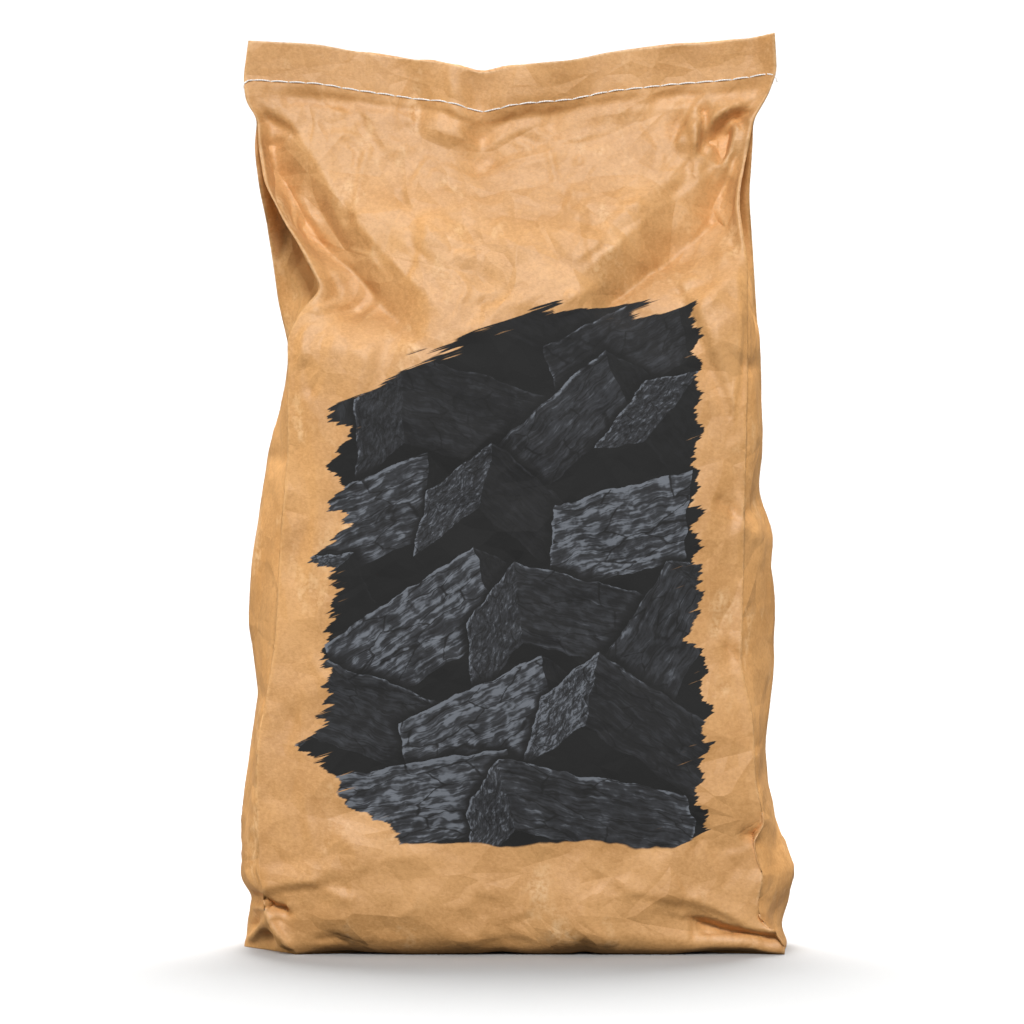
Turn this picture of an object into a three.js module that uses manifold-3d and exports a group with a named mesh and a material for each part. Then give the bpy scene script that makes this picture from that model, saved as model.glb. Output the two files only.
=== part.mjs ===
// A filled kraft paper sack of charcoal, standing on its folded base, with side gussets and a sewn top.
// Millimetres, +Z up, front towards -Y. The origin is the middle of the base.
import * as THREE from "three";
import { ConvexGeometry } from "three/addons/geometries/ConvexGeometry.js";
import { mergeVertices } from "three/addons/utils/BufferGeometryUtils.js";
import Module from "manifold-3d";

// Paper
const WALL = 0.8; // paper thickness
const FOLD = 0.9; // half thickness of the flat fold at each gusset edge
const MOUTH_HEIGHT = 475; // top edge, measured up the paper
const SEAM_HEIGHT = 455; // row of stitches
const SAG_ENDS_AT = 330; // the mouth's sag has died out at this height
const WAVE_ENDS_AT = 385; // and so has its wave from front to back
const PANEL_CROWN = 2.4; // how square the front and back panels bulge

// Thread
const THREAD_RADIUS = 0.5;
const CHAIN_RADIUS = 0.75; // the looped thread behind
const CLEAR = 0.55; // gap between thread and paper
const FIRST_STITCH = -137;
const LAST_STITCH = 130.5;
const STITCHES = 29;
const THREAD_SIDES = 6;
const BAR_SIDES = 5;

// Charcoal
const COURSE_HEIGHT = 40.5;
const COURSE_HALF_DEPTHS = [37, 43, 43, 43, 42, 38, 33, 27];
const COURSE_HALF_WIDTH = 106;
const LUMP_GAP = 0.3;
const LUMP_CHIP = [3, 9]; // least and most that a corner is broken away

// Fold lines up the sack, each a list of [height, x]. The gusset lines bulge out below and fold in above.
const FRONT_LEFT = [
  [0, -129], [14, -128], [27, -128], [45, -132], [90, -133], [112, -132], [133, -127.5], [160, -123],
  [219, -120], [255, -117], [316, -117.4], [333, -109], [341, -98], [363, -111], [378, -120.5],
  [398, -130], [420, -133.5], [435, -134.8], [442, -140.5], [455, -142], [475, -139.4],
];
const LEFT_GUSSET = [
  [0, -137], [4, -140.9], [13, -140.4], [27, -137.3], [35, -142.7], [81, -140.9], [111, -138.3],
  [132, -134.7], [167, -137.3], [204, -135.7], [239, -133.1], [262, -129], [280, -123.8], [312, -117],
  [341, -102], [376, -106], [399, -104], [420, -98], [455, -96], [475, -94],
];
const BACK_LEFT = [
  [0, -129], [27, -129], [90, -131], [133, -129], [219, -122], [270, -118], [312, -119.8], [337, -125.3],
  [376, -131], [399, -134.2], [420, -136.8], [435, -134.8], [442, -139.5], [455, -142], [475, -139.4],
];
const FRONT_RIGHT = [
  [0, 126], [16, 125.5], [40, 127.4], [57, 122.8], [65, 129], [88, 122.3], [122, 120.8], [147, 115],
  [219, 116.7], [297, 118.4], [354, 118.4], [384, 115], [398, 116], [416, 120], [432, 123], [444, 131.6],
  [455, 135.5], [475, 134.2],
];
const RIGHT_GUSSET = [
  [0, 136], [4, 142], [10.4, 139.4], [23, 142], [37, 142.5], [52, 139.9], [65, 135.7], [76, 133.6],
  [108, 131], [147, 133.6], [199, 130.5], [215, 132.1], [237, 126.9], [269, 128.4], [321, 124],
  [341, 116], [360, 106], [384, 98], [416, 92], [455, 90], [475, 89],
];
const BACK_RIGHT = [
  [0, 128], [50, 130], [108, 126], [167, 124], [237, 121], [269, 122], [321, 127.9], [360, 124.8],
  [392, 121.7], [422, 124.3], [432, 123.8], [444, 131.8], [455, 135.7], [475, 134.2],
];

// Depths at each height: of the gusset edges, and of the middle of the front and back panels.
const EDGE_DEPTH = [
  [0, 43], [5, 46.5], [30, 48.5], [100, 48.5], [160, 47], [220, 44], [270, 40], [320, 34], [360, 27],
  [395, 18.5], [420, 11], [438, 5], [447, 2.6], [455, 2.2], [475, 2.2],
];
const FRONT_DEPTH = [
  [0, 49], [5, 53], [30, 58], [100, 62], [160, 63], [220, 61], [270, 57], [320, 50], [360, 41], [395, 29],
  [420, 17], [438, 7], [447, 2.6], [455, 1.3], [475, 1.2],
];
const BACK_DEPTH = [
  [0, 48], [5, 51.5], [30, 56], [100, 60], [160, 61], [220, 59], [270, 55], [320, 48], [360, 39], [395, 28],
  [420, 16.5], [438, 6.8], [447, 2.6], [455, 1.3], [475, 1.2],
];

// The mouth across the sack, each a list of [x, offset]: how far it sags, and its wave from front to back.
const MOUTH_SAG = [
  [-142, 3.6], [-103, 5.7], [-88, 8.3], [-57, 13], [-36, 15.5], [-18, 21.3], [-2, 17.2], [28, 14.6],
  [48, 9.9], [85, 5.7], [110, 4.2], [136, 0],
];
const MOUTH_WAVE = [
  [-142, 2], [-100, 4], [-62, 1], [-36, -4.5], [-18, 2], [-2, -2.5], [40, 0], [90, 3], [136, -2],
];

// Soft valleys pressed into the front: from [x, z] to [x, z], half width and depth.
const VALLEYS = [
  { from: [-118, 424], to: [-80, 368], width: 15, depth: 6 },
  { from: [110, 410], to: [40, 350], width: 16, depth: 6 },
  { from: [-18, 420], to: [-18, 385], width: 12, depth: 3 },
];

// Heights of the rows of points up the sack, above the base's rounded edge.
const ROWS = [
  13, 27, 35, 55, 81, 108, 133, 160, 195, 219, 237, 262, 290, 312, 327, 341, 354, 370, 390, 408, 421, 432, 440,
  447, 455, 461, 475,
];
const BASE_EDGE = [
  { height: 0, inset: 5 },
  { height: 1.6, inset: 1.3 },
  { height: 5, inset: 0 },
];
const PANEL_STEPS = 16;
const GUSSET_STEPS = 6;

const kraft = new THREE.MeshStandardMaterial({ color: 0xd6a368, roughness: 0.72, metalness: 0 });
const whiteThread = new THREE.MeshStandardMaterial({ color: 0xf8f2e8, roughness: 0.8, metalness: 0 });
const charcoal = new THREE.MeshStandardMaterial({ color: 0x303134, roughness: 0.85, metalness: 0 });

const wasm = await Module();
wasm.setup();

// Value of a hand-drawn line at a place along it.
function lineAt(points, place) {
  const last = points.length - 1;
  if (place <= points[0][0]) return points[0][1];
  if (place >= points[last][0]) return points[last][1];
  const next = points.findIndex((point) => point[0] > place);
  const [start, from] = points[next - 1];
  const [end, to] = points[next];
  return THREE.MathUtils.mapLinear(place, start, end, from, to);
}

function valleyDepth(x, z) {
  let total = 0;
  for (const { from, to, width, depth } of VALLEYS) {
    const start = new THREE.Vector3(...from, 0);
    const line = new THREE.Line3(start, new THREE.Vector3(...to, 0));
    const point = new THREE.Vector3(x, z, 0);
    const nearest = line.closestPointToPoint(point, true, new THREE.Vector3());
    total += depth * Math.exp(-((nearest.distanceTo(point) / width) ** 2));
  }
  return total;
}

// One panel from a left edge to a right edge, bulging from the edges' depth to the middle's.
function panel(left, right, edgeDepth, middleDepth) {
  return Array.from({ length: PANEL_STEPS + 1 }, (unused, step) => {
    const across = (2 * step) / PANEL_STEPS - 1;
    const crown = 1 - Math.abs(across) ** PANEL_CROWN;
    const x = THREE.MathUtils.lerp(left, right, step / PANEL_STEPS);
    return new THREE.Vector2(x, THREE.MathUtils.lerp(edgeDepth, middleDepth, crown));
  });
}

// One gusset from its front edge to its back edge: round where it bulges out, a sharp fold where it goes in.
function gusset(front, middle, back, side) {
  const bulge = side * (middle - (front.x + back.x) / 2);
  const roundness = THREE.MathUtils.lerp(1, 2, THREE.MathUtils.smoothstep(bulge, -6, 8));
  return Array.from({ length: GUSSET_STEPS + 1 }, (unused, step) => {
    const along = step / GUSSET_STEPS;
    const reach = 1 - Math.abs(2 * along - 1) ** roundness;
    const point = new THREE.Vector2().lerpVectors(front, back, along);
    point.x += side * bulge * reach;
    return point;
  });
}

// The sack's outer section at a height, counter-clockwise from the front left edge.
function section(height) {
  const edge = lineAt(EDGE_DEPTH, height);
  const frontLeft = lineAt(FRONT_LEFT, height);
  const frontRight = lineAt(FRONT_RIGHT, height);
  const backLeft = lineAt(BACK_LEFT, height);
  const backRight = lineAt(BACK_RIGHT, height);
  const inner = edge - 2 * FOLD - 0.05;
  const front = panel(frontLeft + FOLD, frontRight - FOLD, -edge, -lineAt(FRONT_DEPTH, height));
  for (const point of front) point.y += valleyDepth(point.x, height);
  const back = panel(backLeft + FOLD, backRight - FOLD, edge, lineAt(BACK_DEPTH, height)).reverse();
  const right = gusset(
    new THREE.Vector2(frontRight - FOLD, -inner),
    lineAt(RIGHT_GUSSET, height),
    new THREE.Vector2(backRight - FOLD, inner),
    1,
  );
  const left = gusset(
    new THREE.Vector2(frontLeft + FOLD, -inner),
    lineAt(LEFT_GUSSET, height),
    new THREE.Vector2(backLeft + FOLD, inner),
    -1,
  ).reverse();
  const foldDepth = edge - FOLD;
  return [
    ...front,
    new THREE.Vector2(frontRight, -foldDepth),
    ...right,
    new THREE.Vector2(backRight, foldDepth),
    ...back,
    new THREE.Vector2(backLeft, foldDepth),
    ...left,
    new THREE.Vector2(frontLeft, -foldDepth),
  ];
}

// The same section moved inwards by a distance.
function insetSection(points, distance) {
  return points.map((point, index) => {
    const before = points.at(index - 1);
    const after = points[(index + 1) % points.length];
    const along = new THREE.Vector2().subVectors(after, before).normalize();
    return new THREE.Vector2(point.x - distance * along.y, point.y + distance * along.x);
  });
}

// A section point set at its height on the sagging, waving paper.
function onPaper(point, height) {
  const sagShare = THREE.MathUtils.smoothstep(height, SAG_ENDS_AT, SEAM_HEIGHT);
  const waveShare = THREE.MathUtils.smoothstep(height, WAVE_ENDS_AT, SEAM_HEIGHT);
  return new THREE.Vector3(
    point.x,
    point.y + waveShare * lineAt(MOUTH_WAVE, point.x),
    height - sagShare * lineAt(MOUTH_SAG, point.x),
  );
}

// Rows of the outer and inner faces, from the base to the mouth.
function paperRows(wall) {
  const rows = [];
  for (const { height, inset } of BASE_EDGE) {
    const points = insetSection(section(height), inset + wall);
    rows.push(points.map((point) => onPaper(point, Math.max(height, wall))));
  }
  for (const height of ROWS) {
    const points = wall ? insetSection(section(height), wall) : section(height);
    rows.push(points.map((point) => onPaper(point, height)));
  }
  return rows;
}

// The paper is a lathe blank, with its outer and inner faces as profile, whose points are set on the sack.
function paperGeometry() {
  const outer = paperRows(0);
  const inner = paperRows(WALL).reverse();
  const columns = outer[0].length;
  const poleRow = (height) => Array(columns).fill(new THREE.Vector3(0, 0, height));
  const rows = [poleRow(0), ...outer, ...inner, poleRow(WALL)];
  const profile = rows.map((row, index) => new THREE.Vector2(1, index));
  const blank = new THREE.LatheGeometry(profile, columns);
  const position = blank.getAttribute("position");
  for (let index = 0; index < position.count; index += 1) {
    const column = Math.floor(index / rows.length) % columns;
    position.setXYZ(index, ...rows[index % rows.length][column].toArray());
  }
  return blank;
}

function toSolid(geometry) {
  const bare = geometry.index ? geometry.toNonIndexed() : geometry.clone();
  bare.deleteAttribute("normal");
  bare.deleteAttribute("uv");
  const merged = mergeVertices(bare, 1e-4);
  const vertProperties = merged.getAttribute("position").array;
  const triVerts = new Uint32Array(merged.index.array);
  return new wasm.Manifold(new wasm.Mesh({ numProp: 3, vertProperties, triVerts }));
}

function toGeometry(solid) {
  const mesh = solid.getMesh();
  const geometry = new THREE.BufferGeometry();
  geometry.setAttribute("position", new THREE.BufferAttribute(mesh.vertProperties, 3));
  geometry.setIndex(new THREE.BufferAttribute(mesh.triVerts, 1));
  geometry.computeVertexNormals();
  return geometry;
}

const unite = (solids) => solids.reduce((joined, solid) => joined.add(solid));

// The seam row's points on the front and back faces, as lines of [x, y] and [x, z].
const seamSection = section(SEAM_HEIGHT).map((point) => onPaper(point, SEAM_HEIGHT));
const seamFront = seamSection.slice(0, PANEL_STEPS + 1);
const backStart = PANEL_STEPS + GUSSET_STEPS + 4;
const seamBack = seamSection.slice(backStart, backStart + PANEL_STEPS + 1).reverse();

function seamPoint(face, x, offset) {
  const depths = face.map((point) => [point.x, point.y]);
  const heights = face.map((point) => [point.x, point.z]);
  return new THREE.Vector3(x, lineAt(depths, x) + offset, lineAt(heights, x));
}

const needlePlaces = Array.from({ length: STITCHES + 1 }, (unused, index) =>
  THREE.MathUtils.lerp(FIRST_STITCH, LAST_STITCH, index / STITCHES),
);

function polygon(radius, sides) {
  const corners = Array.from({ length: sides }, (unused, index) => {
    const turn = (2 * Math.PI * index) / sides;
    return new THREE.Vector2(radius * Math.cos(turn), radius * Math.sin(turn));
  });
  return new THREE.Shape(corners);
}

// A thread along the seam on one face, which stands a little proud between its needle holes.
function threadRun(face, offset, radius) {
  const proud = 0.25 * Math.sign(offset);
  const points = needlePlaces.flatMap((x, index) => {
    const hole = seamPoint(face, x, offset);
    if (index === STITCHES) return [hole];
    return [hole, seamPoint(face, (x + needlePlaces[index + 1]) / 2, offset + proud)];
  });
  const path = new THREE.CatmullRomCurve3(points, false, "catmullrom", 0.2);
  return new THREE.ExtrudeGeometry(polygon(radius, THREAD_SIDES), { extrudePath: path, steps: 2 * STITCHES });
}

// A short bar through the paper at each needle hole.
function needleBars(radius, reach) {
  return needlePlaces.map((x) => {
    const front = seamPoint(seamFront, x, -reach);
    const back = seamPoint(seamBack, x, reach);
    const bar = new THREE.CylinderGeometry(radius, radius, back.y - front.y, BAR_SIDES);
    bar.translate(x, (front.y + back.y) / 2, (front.z + back.z) / 2);
    return toSolid(bar);
  });
}

const frontOffset = CLEAR + THREAD_RADIUS;
const backOffset = CLEAR + CHAIN_RADIUS;

function makeThread() {
  const front = toSolid(threadRun(seamFront, -frontOffset, THREAD_RADIUS));
  const back = toSolid(threadRun(seamBack, backOffset, CHAIN_RADIUS));
  const bars = unite(needleBars(THREAD_RADIUS, frontOffset));
  const thread = new THREE.Mesh(toGeometry(unite([front, back, bars])), whiteThread);
  thread.name = "closing_thread";
  return thread;
}

function makeSack() {
  const holes = unite(needleBars(THREAD_RADIUS + CLEAR, 2 * frontOffset));
  const sack = new THREE.Mesh(toGeometry(toSolid(paperGeometry()).subtract(holes)), kraft);
  sack.name = "paper_sack";
  return sack;
}

// Seeded random numbers from 0 to 1.
function randomSource(seed) {
  let state = seed;
  return () => {
    state = (state * 1664525 + 1013904223) % 4294967296;
    return state / 4294967296;
  };
}

const random = randomSource(41);

// A split block of charred wood that fills a cell, with its corners broken away.
function lumpGeometry(width, depth, height) {
  const half = new THREE.Vector3(width, depth, height).divideScalar(2);
  const points = [];
  for (const corner of [0, 1, 2, 3, 4, 5, 6, 7]) {
    const at = new THREE.Vector3(corner & 1, (corner >> 1) & 1, corner >> 2).multiplyScalar(2).subScalar(1);
    for (const axis of ["x", "y", "z"]) {
      const chip = THREE.MathUtils.lerp(...LUMP_CHIP, random());
      const point = half.clone();
      point[axis] -= chip;
      points.push(point.multiply(at));
    }
  }
  return new ConvexGeometry(points);
}

// Shares of a length for a number of lumps side by side, none alike.
function unevenShares(count) {
  const weights = Array.from({ length: count }, () => 0.8 + 0.4 * random());
  const total = weights.reduce((sum, weight) => sum + weight, 0);
  let reached = 0;
  return weights.map((weight) => {
    const from = reached;
    reached += weight / total;
    return { from, to: reached };
  });
}

// Cells of one course: two rows of lumps along the sack, or one row of lumps across it.
function courseCells(course) {
  const halfDepth = COURSE_HALF_DEPTHS[course];
  const rows = course % 2 ? [5] : [2, 3];
  return rows.flatMap((count, row) => {
    const rowDepth = (2 * halfDepth) / rows.length;
    return unevenShares(count).map(({ from, to }) => ({
      x: (from + to - 1) * COURSE_HALF_WIDTH,
      width: (to - from) * 2 * COURSE_HALF_WIDTH,
      y: -halfDepth + (row + 0.5) * rowDepth,
      depth: rowDepth,
    }));
  });
}

function makeLumps() {
  const lumps = [];
  COURSE_HALF_DEPTHS.forEach((unused, course) => {
    const floor = WALL + LUMP_GAP + course * COURSE_HEIGHT;
    for (const cell of courseCells(course)) {
      const height = COURSE_HEIGHT - LUMP_GAP;
      const geometry = lumpGeometry(cell.width - LUMP_GAP, cell.depth - LUMP_GAP, height);
      const lump = new THREE.Mesh(geometry, charcoal);
      lump.name = `charcoal_lump_${String(lumps.length + 1).padStart(2, "0")}`;
      lump.position.set(cell.x, cell.y, floor + height / 2);
      lumps.push(lump);
    }
  });
  return lumps;
}

const sack = makeSack();
const filledSack = new THREE.Group();
filledSack.add(sack, makeThread(), ...makeLumps());
const middle = new THREE.Box3().setFromObject(filledSack).getCenter(new THREE.Vector3());
filledSack.position.set(-middle.x, -middle.y, 0);

export default filledSack;
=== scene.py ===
import math
import random
import bmesh
import bpy
import numpy as np
from mathutils import Euler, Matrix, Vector, noise


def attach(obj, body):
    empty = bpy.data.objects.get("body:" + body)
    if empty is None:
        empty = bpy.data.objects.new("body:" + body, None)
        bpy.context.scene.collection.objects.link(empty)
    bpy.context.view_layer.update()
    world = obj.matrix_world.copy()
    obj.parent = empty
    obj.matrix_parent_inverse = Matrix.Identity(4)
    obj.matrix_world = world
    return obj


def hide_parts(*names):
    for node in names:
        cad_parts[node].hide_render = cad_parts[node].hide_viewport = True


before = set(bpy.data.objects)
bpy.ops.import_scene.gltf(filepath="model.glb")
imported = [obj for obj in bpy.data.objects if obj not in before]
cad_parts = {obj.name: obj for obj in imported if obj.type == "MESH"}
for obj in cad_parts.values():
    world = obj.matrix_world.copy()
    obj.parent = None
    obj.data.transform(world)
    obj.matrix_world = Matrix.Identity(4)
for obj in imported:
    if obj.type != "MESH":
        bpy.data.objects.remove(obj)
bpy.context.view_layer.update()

scene = bpy.context.scene
mm = 0.001
print("frame loaded:", len(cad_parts), "solids")


# camera of the photograph: level, straight at the printed front
view = {
    "imageSize": 1024,          # pixels along each side
    "distance": 2300.0,         # mm from the sack's middle plane
    "axisX": -2.1,              # mm, where the lens axis meets that plane
    "axisZ": 226.0,
    "mmPerPixel": 0.52,         # on that plane
    "rowShift": 0.38,           # pixels from the lens axis to the picture's middle row
    "sensor": 36.0,
    "clipEnd": 50.0,            # metres
}


def photoPoint(pixel):          # a pixel of the photograph, as mm on the sack's middle plane
    half = view["imageSize"] / 2
    return (view["axisX"] + (pixel[0] - half) * view["mmPerPixel"],
            view["axisZ"] - (pixel[1] - half + view["rowShift"]) * view["mmPerPixel"])


def addCamera():
    data = bpy.data.cameras.new("photoCamera")
    data.sensor_width = view["sensor"]
    data.lens = view["sensor"] * view["distance"] / (view["imageSize"] * view["mmPerPixel"])
    data.clip_end = view["clipEnd"]
    camera = bpy.data.objects.new("photoCamera", data)
    camera.location = (view["axisX"] * mm, -view["distance"] * mm, view["axisZ"] * mm)
    camera.rotation_euler = (math.pi / 2, 0, 0)
    scene.collection.objects.link(camera)
    scene.camera = camera


addCamera()
print("camera set")


# the sack's fold lines and depths: height in mm, then the place in mm
sack = {
    "mouth": 475.0, "seam": 455.0, "sagStart": 330.0, "waveStart": 385.0,
    "fold": 0.9, "ply": 0.45, "slitDepth": 11.0, "crown": 2.4,
    "foldGap": 0.05,                            # mm between a fold's edge and the gusset behind it
    "frontColumns": 196, "gussetColumns": 36, "backColumns": 60,
    "fineRow": 1.4, "coarseRow": 2.1, "fineBelow": 62.0, "fineAbove": 325.0,
    "firstRow": 4.4, "lastGap": 0.8,            # mm above the floor, and least mm below the mouth
    "bulge": (-6, 8), "bulgeHeights": (2, 34),  # mm over which a gusset turns from creased to round
    "leanPower": 1.4, "riseStart": 0.5,         # over the strip's height
    "liftHeight": 14.0,                         # mm up to which the foot's edge is lifted
    "footHold": (1, 7), "stripHold": (447, 456), "stripShare": 0.8,     # heights where the folds fade
    "layerGap": 2.4, "layerRounds": 120,        # plies between two layers, and rounds that spread a push
    "blur": 3.0,                                # mm over which a line's corners are rounded
    "blurs": {"mouthWave": 5, "mouthLean": 3, "mouthSag": 4, "footLift": 2, "backRise": 1},
    "shift": (0.1, 1.0), "printHalf": 112.0, "printFoot": 38.0, "printTop": 344.0,
    "frontLeft": [(0, -113), (8, -119.5), (15, -126), (20, -129), (27, -128.5), (45, -132), (90, -133),
                  (112, -132), (133, -127.5), (160, -123), (219, -120), (255, -117), (316, -117.4),
                  (331, -110), (340, -100), (363, -111), (378, -120.5), (398, -130), (420, -133.5),
                  (435, -134.8), (442, -140.5), (455, -142), (475, -139.4)],
    "leftGusset": [(0, -141.5), (13, -140.4), (22, -138), (27, -136), (30, -137.5), (35, -142.7),
                   (81, -140.9), (111, -138.3), (132, -134.7), (167, -137.3), (204, -135.7), (239, -133.1),
                   (262, -129), (280, -123.8), (312, -117), (341, -102), (376, -106), (399, -104),
                   (420, -98), (455, -96), (475, -94)],
    "backLeft": [(0, -129), (27, -129), (90, -131), (133, -129), (219, -122), (270, -118),
                 (312, -119.8), (337, -125.3), (376, -131), (399, -134.2), (420, -136.8),
                 (435, -134.8), (442, -139.5), (455, -142), (475, -139.4)],
    "frontRight": [(0, 137), (7, 138), (11, 135), (17, 126), (26, 124), (40, 127.4), (57, 122.8),
                   (65, 129), (88, 122.3), (122, 120.8), (147, 115), (219, 116.7), (297, 118.4),
                   (354, 118.4), (384, 115), (398, 116), (416, 120), (432, 123), (444, 131.6),
                   (455, 135.5), (475, 134.2)],
    "rightGusset": [(0, 140.5), (4, 142), (10.4, 138.4), (23, 142), (37, 142.5), (52, 139.9),
                    (65, 135.7), (76, 133.6), (108, 131), (147, 133.6), (199, 130.5), (215, 132.1),
                    (237, 126.9), (269, 128.4), (321, 124), (341, 116), (360, 106), (384, 98),
                    (416, 92), (455, 90), (475, 89)],
    "backRight": [(0, 128), (50, 130), (108, 126), (167, 124), (237, 121), (269, 122), (321, 127.9),
                  (360, 124.8), (392, 121.7), (422, 124.3), (432, 123.8), (444, 131.8),
                  (455, 135.7), (475, 134.2)],
    "edgeDepth": [(0, 43), (5, 46.5), (30, 48.5), (100, 48.5), (160, 47), (220, 44), (270, 42),
                  (320, 37), (360, 28), (380, 20.5), (400, 12.5), (415, 8), (430, 4.4), (440, 3),
                  (447, 2.5), (455, 2.2), (475, 2.2)],
    "frontDepth": [(0, 49), (5, 53), (30, 58), (100, 62), (160, 63), (220, 61), (270, 57), (320, 49.5),
                   (340, 45), (360, 37.5), (380, 27.5), (400, 16), (415, 8.6), (430, 3.6), (440, 1.6),
                   (448, 1.2), (455, 2.8), (475, 2.2)],
    "backDepth": [(0, 48), (5, 51.5), (30, 56), (100, 60), (160, 61), (220, 59), (270, 55), (320, 48),
                  (360, 39), (395, 28), (420, 16.5), (438, 6.8), (447, 2.2), (455, 0.4), (475, 0.2)],
    "mouthSag": [(-142, 3.6), (-103, 5.7), (-88, 8.3), (-57, 13), (-36, 15.5), (-18, 21.3), (-2, 17.2),
                 (28, 14.6), (48, 9.9), (85, 5.7), (110, 4.2), (136, 0)],
    "mouthWave": [(-142, 1), (-124, 4), (-104, 2), (-84, 5), (-66, 2), (-50, 6), (-40, -2), (-28, -6),
                  (-19, 5), (-9, -2), (10, -4), (36, 0), (62, 2.5), (92, 4), (112, 0), (122, 3), (136, -3)],
    # how far the mouth leans back, and how far the back ply stands above the front one
    "mouthLean": [(-142, 1), (-118, -2), (-90, 0.5), (-66, 1.5), (-50, -4), (-38, 2.5), (-27, 1), (-20, -4),
                  (-4, 1), (20, -3), (40, 0), (60, -2), (84, -3), (100, 0.5), (114, -2.5), (124, 1),
                  (136, -3)],
    "backRise": [(-142, 0), (-84, 0.1), (-74, 1.0), (-62, 0.7), (-52, 0), (-44, 1.1), (-36, 0.1), (-28, 1.2),
                 (-20, 0.8), (-6, 1.3), (4, 0.1), (50, 0.2), (78, 1.0), (112, 0.9), (124, 0), (136, 0)],
    "footRings": [0.15, 0.35, 0.55, 0.75, 0.9], "footHeights": [0, 0.6, 1.6, 3.0],
    "footInset": (0.6, 9.0), "footRise": (1.6, 13.0),       # at the corners, in the middle of the front
    "footLift": [(-113, 0), (-102, 1.5), (-88, 2.8), (-76, 1.2), (-55, 0), (-20, 0.3), (-8, 1.6),
                 (6, 0.2), (28, 0.2), (35, 1.8), (41, 0.2), (80, 0), (100, 2.4), (118, 2.6), (130, 0.4),
                 (137, 0)],
}

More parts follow.
